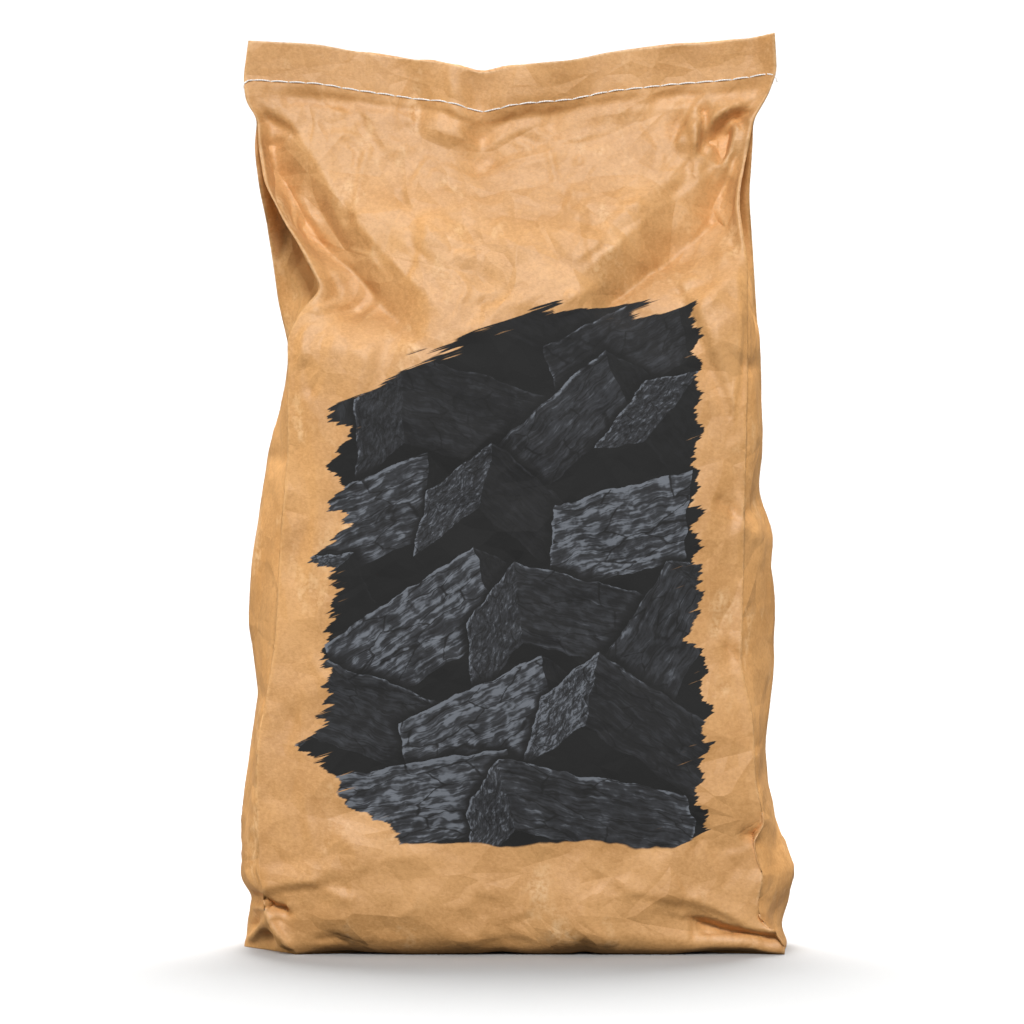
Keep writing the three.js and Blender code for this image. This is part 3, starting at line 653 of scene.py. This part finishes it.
def seamLine(panel):            # the paper's surface along the stitches
    outside = sackRowList[:, 2] == 0
    row = int(np.argmin(np.abs(sackRowList[outside, 0] - sack["seam"])))
    picked = [n for n, (name, share) in enumerate(sackColumnList) if name == panel]
    line = sackPlaces[row, picked]
    line = line[np.argsort(line[:, 0])]
    return lambda x: (np.interp(x, line[:, 0], line[:, 1]), np.interp(x, line[:, 0], line[:, 2]))


def twistedSplines(curve, route):       # two plies wound round each other along a route of mm points
    route = np.array(route, float)
    run = np.concatenate([[0], np.cumsum(np.linalg.norm(np.diff(route, axis=0), axis=1))])
    places = np.arange(0, run[-1], thread["twist"] / thread["pointsPerTurn"])
    path = np.stack([np.interp(places, run, route[:, axis]) for axis in range(3)], 1)
    tangent = np.gradient(path, axis=0)
    tangent /= np.maximum(np.linalg.norm(tangent, axis=1, keepdims=True), 1e-9)
    across = np.cross(tangent, (0, 1, 0.01))
    across /= np.maximum(np.linalg.norm(across, axis=1, keepdims=True), 1e-9)
    other = np.cross(tangent, across)
    for start in (0, math.pi):
        angle = (places / thread["twist"] * 2 * math.pi + start)[:, None]
        ply = path + thread["plyOffset"] * (np.cos(angle) * across + np.sin(angle) * other)
        spline = curve.splines.new("POLY")
        spline.points.add(len(ply) - 1)
        for point, place in zip(spline.points, ply):
            point.co = (*shifted(place), 1)


def stitches():                 # where each stitch starts and ends
    holes = np.linspace(thread["first"], thread["last"], thread["stitches"] + 1)
    return zip(holes, holes[1:])


def frontRoute():
    surface = seamLine("front")
    route = []
    for start, end in stitches():
        for step in range(thread["pointsPerStitch"]):
            share = step / thread["pointsPerStitch"]
            x = start + (end - start) * share
            y, z = surface(x)
            lift = thread["rest"] + thread["arch"] * math.sin(math.pi * share) ** 0.5
            route.append((x, y - lift, z + thread["rise"] * math.sin(math.pi * share)))
    return route


def loopRoutes():
    surface = seamLine("back")
    lowest, rise = thread["loopLift"]
    wide, narrower = thread["loopTaper"]
    for start, end in stitches():
        reach = (end - start) * thread["loopReach"]
        route = []
        for step in range(thread["loopPoints"] + 1):
            turn = 2 * math.pi * step / thread["loopPoints"] + math.pi
            share = (1 + math.cos(turn)) / 2
            x = start + reach * share
            y, z = surface(min(x, thread["last"] + thread["endRoom"]))
            lift = lowest + rise * share
            route.append((x, y + lift, z + thread["loopWidth"] * math.sin(turn) * (wide - narrower * share)))
        yield route


def tailRoutes():
    surface = seamLine("front")
    for x, way in ((thread["first"], -1), (thread["last"], 1)):
        y, z = surface(x)
        length = thread["tails"]
        yield [(x + way * out * length, y - off, z - down * length) for out, off, down in thread["tailRoute"]]


def buildThread():
    curve = bpy.data.curves.new("closingThread", "CURVE")
    curve.dimensions = "3D"
    curve.bevel_depth = thread["plyRadius"] * mm
    curve.bevel_resolution = 1
    curve.use_fill_caps = True
    twistedSplines(curve, frontRoute())
    for route in loopRoutes():
        twistedSplines(curve, route)
    for route in tailRoutes():
        twistedSplines(curve, route)
    shape = bpy.data.objects.new("closingThreadCurve", curve)
    scene.collection.objects.link(shape)
    bpy.context.view_layer.update()
    mesh = bpy.data.meshes.new_from_object(shape.evaluated_get(bpy.context.evaluated_depsgraph_get()))
    bpy.data.objects.remove(shape)
    piece = bpy.data.objects.new("closingThread", mesh)
    for face in mesh.polygons:
        face.use_smooth = True
    scene.collection.objects.link(piece)
    return piece


threadPiece = buildThread()
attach(threadPiece, "root")
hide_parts("closing_thread")
print("closing thread:", len(threadPiece.data.polygons), "faces")


# small helpers for node trees
def addNode(tree, kind, inputs=None, **settings):
    made = tree.nodes.new(kind)
    for name, value in settings.items():
        setattr(made, name, value)
    for name, value in (inputs or {}).items():
        if isinstance(value, bpy.types.NodeSocket):
            tree.links.new(value, made.inputs[name])
        else:
            made.inputs[name].default_value = value
    return made


def calc(tree, operation, *values):
    return addNode(tree, "ShaderNodeMath", dict(enumerate(values)), operation=operation).outputs[0]


def vec(tree, operation, *values):
    return addNode(tree, "ShaderNodeVectorMath", dict(enumerate(values)), operation=operation).outputs[0]


def scaled(tree, vector, factor):
    return addNode(tree, "ShaderNodeVectorMath", {0: vector, "Scale": factor}, operation="SCALE").outputs[0]


def ramp(tree, value, low, high, toLow=0.0, toHigh=1.0):
    inputs = {"Value": value, "From Min": low, "From Max": high, "To Min": toLow, "To Max": toHigh}
    return addNode(tree, "ShaderNodeMapRange", inputs, interpolation_type="SMOOTHSTEP").outputs[0]


def blend(tree, factor, first, second):
    return addNode(tree, "ShaderNodeMix", {0: factor, 6: first, 7: second}, data_type="RGBA").outputs[2]


def grain(tree, vector, scale, detail=3.0, roughness=0.5):
    inputs = {"Vector": vector, "Scale": scale, "Detail": detail, "Roughness": roughness}
    return addNode(tree, "ShaderNodeTexNoise", inputs).outputs[0]


def stretch(tree, vector, scale, turn=(0, 0, 0)):
    inputs = {"Vector": vector, "Scale": scale, "Rotation": turn}
    return addNode(tree, "ShaderNodeMapping", inputs).outputs[0]


def cellEdges(tree, vector, scale=1.0, **settings):     # distance to the borders of random cells
    inputs = {"Vector": vector, "Scale": scale}
    return addNode(tree, "ShaderNodeTexVoronoi", inputs, feature="DISTANCE_TO_EDGE", **settings).outputs[0]


def split(tree, vector):
    return addNode(tree, "ShaderNodeSeparateXYZ", {0: vector}).outputs


def newGroup(name, inputs, outputs):
    tree = bpy.data.node_groups.new(name, "ShaderNodeTree")
    for label, kind in inputs:
        tree.interface.new_socket(label, in_out="INPUT", socket_type="NodeSocket" + kind)
    for label, kind in outputs:
        tree.interface.new_socket(label, in_out="OUTPUT", socket_type="NodeSocket" + kind)
    return tree, addNode(tree, "NodeGroupInput").outputs, addNode(tree, "NodeGroupOutput").inputs


def placeGroup(tree, group, inputs):
    return addNode(tree, "ShaderNodeGroup", inputs, node_tree=group).outputs


def newMaterial(name, look):
    material = bpy.data.materials.new(name)
    material.use_nodes = True
    shader = material.node_tree.nodes["Principled BSDF"]
    shader.inputs["Roughness"].default_value = look["roughness"]
    shader.inputs["Specular IOR Level"].default_value = look["specular"]
    return material, material.node_tree, shader


# printed heap of charcoal: each lump is a box seen from straight ahead
picture = {
    "light": (-0.42, 0.72, -0.55), "ambient": 0.16, "ray": (0.003, 0.002, 1), "spread": 3.1,
    "wobble": 7.0, "wobbleScale": 0.07,         # mm, and per mm
    "shadow": 14.0, "shadowSoft": 2.0, "shadowShare": 0.15, "gapTone": 0.012, "gapEdge": 10.0,
    "fibre": (0.03, 0.42, 0.42), "chip": (0.14, 0.2, 0.2), "crack": (0.03, 0.085, 0.085),     # per mm
    "chipCrack": 0.06, "crackTones": (0.02, 0.06, 0.35, 1.0), "wornTones": (0.0, 5.0, 1.0, 0.0),
    "fibreTones": (0.3, 0.75, 0.5, 0.95), "chipTones": (0.35, 0.7, -0.15, 0.2),
    "darkest": (0.002, 0.002, 0.002, 1), "palest": (0.135, 0.148, 0.17, 1), "palestAt": 0.95,
    "tones": {0.15: (0.003, 0.003, 0.003, 1), 0.4: (0.009, 0.009, 0.01, 1), 0.7: (0.03, 0.032, 0.037, 1)},
    "strokeTurn": 19.0, "left": -93.0, "right": 95.0, "foot": 57.0, "topLow": 283.0, "topHigh": 331.0,
    "broad": ((0.012, 0.07, 1), 50.0), "bristle": ((0.03, 0.5, 1), 16.0),   # per mm, and reach in mm
    "raggedMiddle": 33.0, "raggedRight": 0.7, "raggedTop": 0.75, "raggedCorner": 0.4,
    "footWave": (0.03, 16.0), "topSlope": (89.0, 0.46),
    "corners": [(1, 4.0), (-1, -20.0)],         # way the foot's corner is cut off, and how far out in mm
    "cornerSlant": 0.7, "rim": (-0.5, 0.7), "slits": (0.66, 0.72), "slitReach": (2.0, 11.0, 1.0, 0.0),
    # middle x, height, depth; roll, yaw and turn in degrees; half length, breadth and thickness; tone
    "lumps": [
        (-58, 305, 92, 38, 24, 12, 40, 26, 24, 0.55), (4, 312, 88, 50, -20, -24, 44, 25, 22, 0.50),
        (66, 300, 84, 34, 26, 30, 42, 26, 24, 0.60), (-90, 256, 76, 52, 22, 64, 44, 24, 22, 0.60),
        (-34, 262, 70, 36, -24, -16, 42, 27, 25, 0.75), (34, 256, 66, 46, 20, 42, 46, 24, 22, 0.70),
        (92, 248, 62, 30, -22, -50, 42, 25, 23, 0.75), (-70, 208, 56, 40, 22, 22, 44, 27, 24, 0.85),
        (2, 206, 50, 54, -22, -38, 46, 26, 24, 0.80), (66, 204, 46, 36, 24, 14, 40, 27, 25, 0.95),
        (-94, 156, 40, 48, -20, -66, 42, 24, 22, 0.80), (-36, 156, 36, 34, 22, 34, 48, 26, 23, 1.0),
        (30, 156, 32, 44, -24, -14, 42, 27, 25, 0.90), (88, 150, 28, 38, 22, 58, 44, 25, 23, 0.85),
        (-68, 104, 22, 46, -24, -20, 46, 27, 24, 0.95), (0, 106, 16, 32, 24, 26, 42, 26, 24, 1.05),
        (62, 100, 12, 48, -20, -36, 46, 27, 24, 0.95), (-34, 66, 6, 36, 22, 10, 46, 25, 23, 0.95),
        (34, 60, 0, 44, -22, -12, 48, 24, 22, 1.0),
    ],
}


def pictureLumpGroup():
    tree, given, result = newGroup(
        "pictureLump",
        [("Sheet", "Vector"), ("Per Across", "Vector"), ("Per Up", "Vector"), ("Start", "Vector"),
         ("Reach", "Vector"), ("Ray", "Vector"), ("Offset", "Vector"), ("Broad Shade", "Float"),
         ("End Shade", "Float"), ("Side Shade", "Float"), ("Behind Point", "Vector"),
         ("Behind Shade", "Float"), ("Behind Edge", "Float")],
        [("Sheet", "Vector"), ("Point", "Vector"), ("Shade", "Float"), ("Edge", "Float")])
    sheet = split(tree, given["Sheet"])
    middle = vec(tree, "MULTIPLY_ADD", sheet[0], given["Per Across"], given["Start"])
    middle = vec(tree, "MULTIPLY_ADD", sheet[1], given["Per Up"], middle)
    near = split(tree, vec(tree, "SUBTRACT", middle, given["Reach"]))
    far = split(tree, vec(tree, "ADD", middle, given["Reach"]))
    enter = calc(tree, "MAXIMUM", calc(tree, "MAXIMUM", near[0], near[1]), near[2])
    leave = calc(tree, "MINIMUM", calc(tree, "MINIMUM", far[0], far[1]), far[2])
    gap = calc(tree, "SUBTRACT", leave, enter)
    hit = calc(tree, "GREATER_THAN", gap, 0.0)
    point = vec(tree, "MULTIPLY_ADD", given["Ray"], vec(tree, "SUBTRACT", enter, middle), given["Offset"])
    shade = given["Broad Shade"]
    for axis, label in ((0, "End Shade"), (1, "Side Shade")):
        isFace = calc(tree, "COMPARE", near[axis], enter, 0.001)
        shade = calc(tree, "MULTIPLY_ADD", isFace, given[label], shade)
    cover = ramp(tree, gap, -picture["shadow"], picture["shadowSoft"], 1.0, picture["shadowShare"])
    behindShade = calc(tree, "MULTIPLY", given["Behind Shade"], cover)

    def choose(first, second, kind):
        made = addNode(tree, "ShaderNodeMix", data_type=kind)
        tree.links.new(hit, made.inputs[0])
        at = 4 if kind == "VECTOR" else 2
        tree.links.new(first, made.inputs[at])
        tree.links.new(second, made.inputs[at + 1])
        return made.outputs[1 if kind == "VECTOR" else 0]

    shade = choose(behindShade, shade, "FLOAT")
    tree.links.new(choose(given["Behind Point"], point, "VECTOR"), result["Point"])
    tree.links.new(shade, result["Shade"])
    tree.links.new(choose(given["Behind Edge"], gap, "FLOAT"), result["Edge"])
    # the sheet's place is handed on with a trace of the shade, so that the lumps are worked out one by one
    tree.links.new(vec(tree, "ADD", given["Sheet"], calc(tree, "MULTIPLY", shade, 1e-6)), result["Sheet"])
    return tree


def pictureLumpValues(x, height, depth, roll, yaw, turn, length, breadth, thick, tone):
    back = Euler([math.radians(angle) for angle in (roll, yaw, turn)], "XYZ").to_matrix().inverted()
    ray = back @ Vector(picture["ray"])
    place = back @ Vector((x, height, depth))
    light = back @ Vector(picture["light"]).normalized()
    lit = [tone * (picture["ambient"] + max(-light[n] * math.copysign(1, ray[n]), 0)) for n in range(3)]
    return {
        "Per Across": [-back[n][0] / ray[n] for n in range(3)],
        "Per Up": [-back[n][1] / ray[n] for n in range(3)],
        "Start": [place[n] / ray[n] for n in range(3)],
        "Reach": [half / abs(ray[n]) for n, half in enumerate((length, breadth, thick))],
        "Ray": ray, "Offset": [value * picture["spread"] for value in (x, height, depth)],
        "Broad Shade": lit[2], "End Shade": lit[0] - lit[2], "Side Shade": lit[1] - lit[2]}


def heapPictureGroup():
    lumpGroup = pictureLumpGroup()
    outputs = [("Color", "Color"), ("Mask", "Float")]
    tree, given, result = newGroup("heapPicture", [("Vector", "Vector")], outputs)
    millimetres = scaled(tree, given["Vector"], 1000.0)
    flat = split(tree, millimetres)
    inputs = {"Vector": millimetres, "Scale": picture["wobbleScale"], "Detail": 3.0}
    wobble = addNode(tree, "ShaderNodeTexNoise", inputs).outputs["Color"]
    wobble = scaled(tree, vec(tree, "SUBTRACT", wobble, (0.5, 0.5, 0.5)), picture["wobble"])
    point = vec(tree, "MULTIPLY", vec(tree, "ADD", millimetres, wobble), (1, 1, 0))
    state = {"Sheet": point, "Point": point, "Shade": picture["gapTone"], "Edge": picture["gapEdge"]}
    for lump in picture["lumps"]:
        state = placeGroup(tree, lumpGroup, {
            "Sheet": state["Sheet"], "Behind Point": state["Point"], "Behind Shade": state["Shade"],
            "Behind Edge": state["Edge"], **pictureLumpValues(*lump)})
    local, shade, edge = state["Point"], state["Shade"], state["Edge"]
    fibres = grain(tree, stretch(tree, local, picture["fibre"]), 1.0, 3.0, 0.7)
    chips = grain(tree, stretch(tree, local, picture["chip"]), 1.0, 2.0, 0.6)
    cracks = cellEdges(tree, stretch(tree, local, picture["crack"]))
    cracks = calc(tree, "ADD", cracks, calc(tree, "MULTIPLY", chips, picture["chipCrack"]))
    crack = ramp(tree, cracks, *picture["crackTones"])
    worn = ramp(tree, edge, *picture["wornTones"])
    texture = ramp(tree, fibres, *picture["fibreTones"])
    texture = calc(tree, "ADD", texture, ramp(tree, chips, *picture["chipTones"]))
    value = calc(tree, "MULTIPLY", calc(tree, "MULTIPLY", shade, texture), crack)
    value = calc(tree, "MULTIPLY", value, calc(tree, "ADD", 1.0, calc(tree, "MULTIPLY", worn, chips)))
    tones = addNode(tree, "ShaderNodeValToRGB", {"Fac": value})
    stops = tones.color_ramp.elements
    stops[0].color = picture["darkest"]
    stops[1].position = picture["palestAt"]
    stops[1].color = picture["palest"]
    for place, color in picture["tones"].items():
        stops.new(place).color = color
    tree.links.new(tones.outputs[0], result["Color"])

    # brushed outline of the print
    stroke = stretch(tree, millimetres, (1, 1, 0), (0, 0, -math.radians(picture["strokeTurn"])))

    def times(first, second):
        return calc(tree, "MULTIPLY", first, second)

    def plus(first, second):
        return calc(tree, "ADD", first, second)

    def minus(first, second):
        return calc(tree, "SUBTRACT", first, second)

    (broadScale, broadReach), (bristleScale, bristleReach) = picture["broad"], picture["bristle"]
    broad = grain(tree, stretch(tree, stroke, broadScale), 1.0, 2.0, 0.5)
    bristle = grain(tree, stretch(tree, stroke, bristleScale), 1.0, 2.0, 0.6)
    ragged = plus(times(broad, broadReach), times(bristle, bristleReach))
    ragged = minus(ragged, picture["raggedMiddle"])
    fromLeft = plus(minus(flat[0], picture["left"]), ragged)
    fromRight = minus(minus(picture["right"], flat[0]), times(ragged, picture["raggedRight"]))
    waveScale, waveReach = picture["footWave"]
    wavy = times(minus(grain(tree, millimetres, waveScale, 3.0), 0.5), waveReach)
    fromFoot = plus(minus(flat[1], picture["foot"]), wavy)
    slopeStart, steep = picture["topSlope"]
    slope = plus(times(plus(flat[0], slopeStart), steep), picture["topLow"])
    top = calc(tree, "MINIMUM", slope, picture["topHigh"])
    fromTop = plus(minus(top, flat[1]), times(ragged, picture["raggedTop"]))
    inside = calc(tree, "MINIMUM", fromFoot, fromTop)
    inside = calc(tree, "MINIMUM", calc(tree, "MINIMUM", fromLeft, fromRight), inside)
    for way, start in picture["corners"]:
        slant = times(plus(times(flat[0], way), flat[1]), picture["cornerSlant"])
        slant = plus(minus(slant, start), times(ragged, picture["raggedCorner"]))
        inside = calc(tree, "MINIMUM", inside, slant)
    mask = ramp(tree, inside, *picture["rim"])
    slits = times(ramp(tree, bristle, *picture["slits"]), ramp(tree, inside, *picture["slitReach"]))
    mask = calc(tree, "MULTIPLY", mask, calc(tree, "SUBTRACT", 1.0, slits))
    tree.links.new(mask, result["Mask"])
    return tree


kraft = {
    "pale": (0.665, 0.352, 0.128, 1), "dark": (0.52, 0.256, 0.080, 1),
    # the valley colour and its share are painted shade: creases that bend inward are darkened towards that
    # colour
    "ridge": (0.80, 0.53, 0.28, 1), "valleyShade": (0.40, 0.19, 0.062, 1),
    # per metre, and share of the tone
    "cloud": (26.0, 0.45), "mottle": (420.0, 0.35), "fibre": ((700, 700, 1100), 0.2),
    "tones": (0.34, 0.66), "worn": (0.35, 0.6, 0.1, 0.5), "rubbed": (0.3, 0.6),
    "scuffScale": (48, 48, 24), "scuff": (0.56, 0.73, 0.0, 0.6), "valleyShadeShare": 0.3,
    "bendStarts": 0.03, "bendFull": 0.25,       # bend per mm at which a crease starts to show and is full
    "cutStarts": 0.5, "cutFull": 0.9,           # bend per mm of a cut edge, which shows no crease
    "roughness": 0.64, "specular": 0.55, "inkRoughness": 1.0,
    "grainDepth": 0.00014, "fibreDepth": 0.6,   # metres, and share
    "facets": [(0.036, 0.42), (0.014, 0.28)],   # size of the flat facets in metres, and their steepness
    "calm": (0.33, 0.37, 0.95, 1.1),            # heights in metres between which they grow, and shares
}


def kraftGroup():
    tree, given, result = newGroup(
        "kraftLook", [("Place", "Vector"), ("Sheet", "Vector"), ("Bend", "Float")],
        [("Color", "Color"), ("Height", "Float")])
    scales, shares = zip(kraft["cloud"], kraft["mottle"], kraft["fibre"])
    cloud = grain(tree, given["Place"], scales[0], 2.0, 0.6)
    mottle = grain(tree, given["Place"], scales[1], 2.0, 0.6)
    fibre = grain(tree, stretch(tree, given["Place"], scales[2]), 1.0, 1.0, 0.5)
    tone = calc(tree, "MULTIPLY", cloud, shares[0])
    for layer, share in zip((mottle, fibre), shares[1:]):
        tone = calc(tree, "ADD", tone, calc(tree, "MULTIPLY", layer, share))
    color = blend(tree, ramp(tree, tone, *kraft["tones"]), kraft["dark"], kraft["pale"])
    worn = ramp(tree, mottle, *kraft["worn"])
    uncut = ramp(tree, given["Bend"], kraft["cutStarts"], kraft["cutFull"], 1.0, 0.0)
    worn = calc(tree, "MULTIPLY", worn, uncut)
    ridge = calc(tree, "MULTIPLY", ramp(tree, given["Bend"], kraft["bendStarts"], kraft["bendFull"]), worn)
    scuff = grain(tree, stretch(tree, given["Place"], kraft["scuffScale"]), 1.0, 4.0, 0.65)
    scuff = ramp(tree, scuff, *kraft["scuff"])
    scuff = calc(tree, "MULTIPLY", scuff, ramp(tree, mottle, *kraft["rubbed"]))
    ridge = calc(tree, "MAXIMUM", ridge, scuff)
    # painted shade: where the paper bends inward its colour is darkened towards the valley colour
    valleyShade = ramp(tree, given["Bend"], -kraft["bendFull"], -kraft["bendStarts"], kraft["valleyShadeShare"], 0.0)
    color = blend(tree, valleyShade, blend(tree, ridge, color, kraft["ridge"]), kraft["valleyShade"])
    tree.links.new(color, result["Color"])
    height = 0.0
    for size, steep in kraft["facets"]:
        inputs = {"Vector": given["Sheet"], "Scale": 1 / size}
        cells = addNode(tree, "ShaderNodeTexVoronoi", inputs, voronoi_dimensions="2D").outputs["Color"]
        edge = cellEdges(tree, given["Sheet"], 1 / size, voronoi_dimensions="2D")
        pick = split(tree, cells)[0]
        facet = calc(tree, "MULTIPLY", edge, calc(tree, "SUBTRACT", pick, 0.5))
        height = calc(tree, "ADD", calc(tree, "MULTIPLY", facet, size * steep), height)
    height = calc(tree, "MULTIPLY", height, ramp(tree, split(tree, given["Place"])[2], *kraft["calm"]))
    fine = calc(tree, "ADD", mottle, calc(tree, "MULTIPLY", fibre, kraft["fibreDepth"]))
    fine = calc(tree, "MULTIPLY", fine, kraft["grainDepth"])
    tree.links.new(calc(tree, "ADD", height, fine), result["Height"])
    return tree


def kraftMaterial(name, paperGroup, pictureGroup=None):
    material, tree, shader = newMaterial(name, kraft)
    coords = addNode(tree, "ShaderNodeTexCoord").outputs
    bend = addNode(tree, "ShaderNodeAttribute", attribute_name="crease", attribute_type="GEOMETRY")
    inputs = {"Place": coords["Object"], "Sheet": coords["UV"], "Bend": bend.outputs["Fac"]}
    paper = placeGroup(tree, paperGroup, inputs)
    color = paper["Color"]
    if pictureGroup:
        printed = placeGroup(tree, pictureGroup, {"Vector": coords["UV"]})
        color = blend(tree, printed["Mask"], color, printed["Color"])
        matt = ramp(tree, printed["Mask"], 0.0, 1.0, kraft["roughness"], kraft["inkRoughness"])
        tree.links.new(matt, shader.inputs["Roughness"])
    tree.links.new(color, shader.inputs["Base Color"])
    inputs = {"Height": paper["Height"], "Strength": 1.0, "Distance": 1.0}
    tree.links.new(addNode(tree, "ShaderNodeBump", inputs).outputs[0], shader.inputs["Normal"])
    return material


cotton = {
    "roughness": 0.75, "specular": 0.25, "fuzz": 1600.0,        # per metre
    "shade": (0.80, 0.77, 0.72, 1), "light": (0.95, 0.94, 0.91, 1),
}


def threadMaterial():
    material, tree, shader = newMaterial("whiteThread", cotton)
    place = addNode(tree, "ShaderNodeTexCoord").outputs["Object"]
    fuzz = grain(tree, place, cotton["fuzz"], 3.0, 0.6)
    tree.links.new(blend(tree, fuzz, cotton["shade"], cotton["light"]), shader.inputs["Base Color"])
    return material


char = {
    "roughness": 0.7, "specular": 0.4, "bump": (0.5, 0.001),
    "rings": (40, 420, 420), "cracks": (70, 120, 120),          # per metre, along and across the wood
    "ringTones": (0.3, 0.75), "crackTones": (0.0, 0.06, 0.1, 1.0),
    "dark": (0.006, 0.006, 0.006, 1), "pale": (0.085, 0.088, 0.095, 1),
}


def charcoalMaterial():
    material, tree, shader = newMaterial("charredWood", char)
    place = addNode(tree, "ShaderNodeTexCoord").outputs["Object"]
    rings = grain(tree, stretch(tree, place, char["rings"]), 1.0, 5.0, 0.65)
    cracks = cellEdges(tree, stretch(tree, place, char["cracks"]))
    tone = ramp(tree, rings, *char["ringTones"])
    tone = calc(tree, "MULTIPLY", tone, ramp(tree, cracks, *char["crackTones"]))
    tree.links.new(blend(tree, tone, char["dark"], char["pale"]), shader.inputs["Base Color"])
    strength, distance = char["bump"]
    bump = addNode(tree, "ShaderNodeBump", {"Height": tone, "Strength": strength, "Distance": distance})
    tree.links.new(bump.outputs[0], shader.inputs["Normal"])
    return material


def dress(piece, *materials):
    while piece.data.materials:
        piece.data.materials.pop()
    for material in materials:
        piece.data.materials.append(material)


paperGroup = kraftGroup()
plainPaper = kraftMaterial("kraftPaper", paperGroup)
dress(sackPiece, plainPaper, kraftMaterial("printedKraft", paperGroup, heapPictureGroup()))
dress(threadPiece, threadMaterial())
charcoal = charcoalMaterial()
for name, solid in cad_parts.items():
    if name.startswith("charcoal_lump"):
        dress(solid, charcoal)
print("materials set")


studio = {
    "floorHalf": 6.0, "backY": 3.2, "curve": 1.2, "curveSteps": 8, "wallHeight": 6.0,
    "roughness": 0.9, "specular": 0.1,
    "white": (0.44, 0.44, 0.44, 1), "bounce": (0.09, 0.09, 0.09, 1),   # as seen, and as it lights the sack
    "world": 0.09,
    # place, aim, size in metres, power in watts, and what it adds: light, glints or both
    "lights": {
        "keyAbove": ((0.1, -6.2, 4.1), (0, 0, 0.25), 2.0, 525.0, "both"),
        "sheenAbove": ((-0.3, -4.1, 5.6), (0, 0, 0.25), 1.8, 560.0, "glints"),
        "topBack": ((0, 0.95, 2.4), (0, 0.1, 0), 1.4, 100.0, "light"),
        "leftSide": ((-2.2, 0.3, 0.6), (0, 0, 0.25), 1.2, 36.0, "light"),
        "rightSide": ((2.2, 0.7, 0.6), (0, 0, 0.25), 1.2, 28.0, "light"),
        "frontFill": ((0.3, -3.0, 0.35), (0, 0, 0.15), 1.8, 8.0, "both"),
        "backdrop": ((0, 1.6, 2.8), (0, 2.6, 0.3), 2.4, 130.0, "light"),
    },
}


def buildStage():
    bm = bmesh.new()
    half, back, radius = studio["floorHalf"], studio["backY"], studio["curve"]
    profile = [(-half, 0)]
    for step in range(studio["curveSteps"] + 1):
        turn = math.pi / 2 * step / studio["curveSteps"]
        profile.append((back - radius + radius * math.sin(turn), radius - radius * math.cos(turn)))
    profile.append((back, studio["wallHeight"]))
    points = [bm.verts.new((-half, y, z)) for y, z in profile]
    edges = [bm.edges.new(pair) for pair in zip(points, points[1:])]
    swept = bmesh.ops.extrude_edge_only(bm, edges=edges)
    moved = [v for v in swept["geom"] if isinstance(v, bmesh.types.BMVert)]
    bmesh.ops.translate(bm, vec=(2 * half, 0, 0), verts=moved)
    bmesh.ops.recalc_face_normals(bm, faces=bm.faces)
    for face in bm.faces:
        face.smooth = True
    mesh = bpy.data.meshes.new("paleFloor")
    bm.to_mesh(mesh)
    bm.free()
    floor = bpy.data.objects.new("paleFloor", mesh)
    scene.collection.objects.link(floor)
    material, tree, shader = newMaterial("paleFloor", studio)
    seen = addNode(tree, "ShaderNodeLightPath").outputs["Is Camera Ray"]
    tree.links.new(blend(tree, seen, studio["bounce"], studio["white"]), shader.inputs["Base Color"])
    dress(floor, material)


def addLights():
    for name, (place, aim, size, power, adds) in studio["lights"].items():
        data = bpy.data.lights.new(name, "AREA")
        data.shape = "DISK"
        data.size = size
        data.energy = power
        lamp = bpy.data.objects.new(name, data)
        lamp.location = place
        lamp.visible_glossy = adds != "light"
        lamp.visible_diffuse = adds != "glints"
        lamp.rotation_euler = (Vector(aim) - Vector(place)).to_track_quat("-Z", "Y").to_euler()
        scene.collection.objects.link(lamp)
    world = bpy.data.worlds.new("studioAir")
    world.use_nodes = True
    world.node_tree.nodes["Background"].inputs["Color"].default_value = (1, 1, 1, 1)
    world.node_tree.nodes["Background"].inputs["Strength"].default_value = studio["world"]
    scene.world = world
    scene.view_settings.view_transform = "Standard"


buildStage()
addLights()
print("studio set")
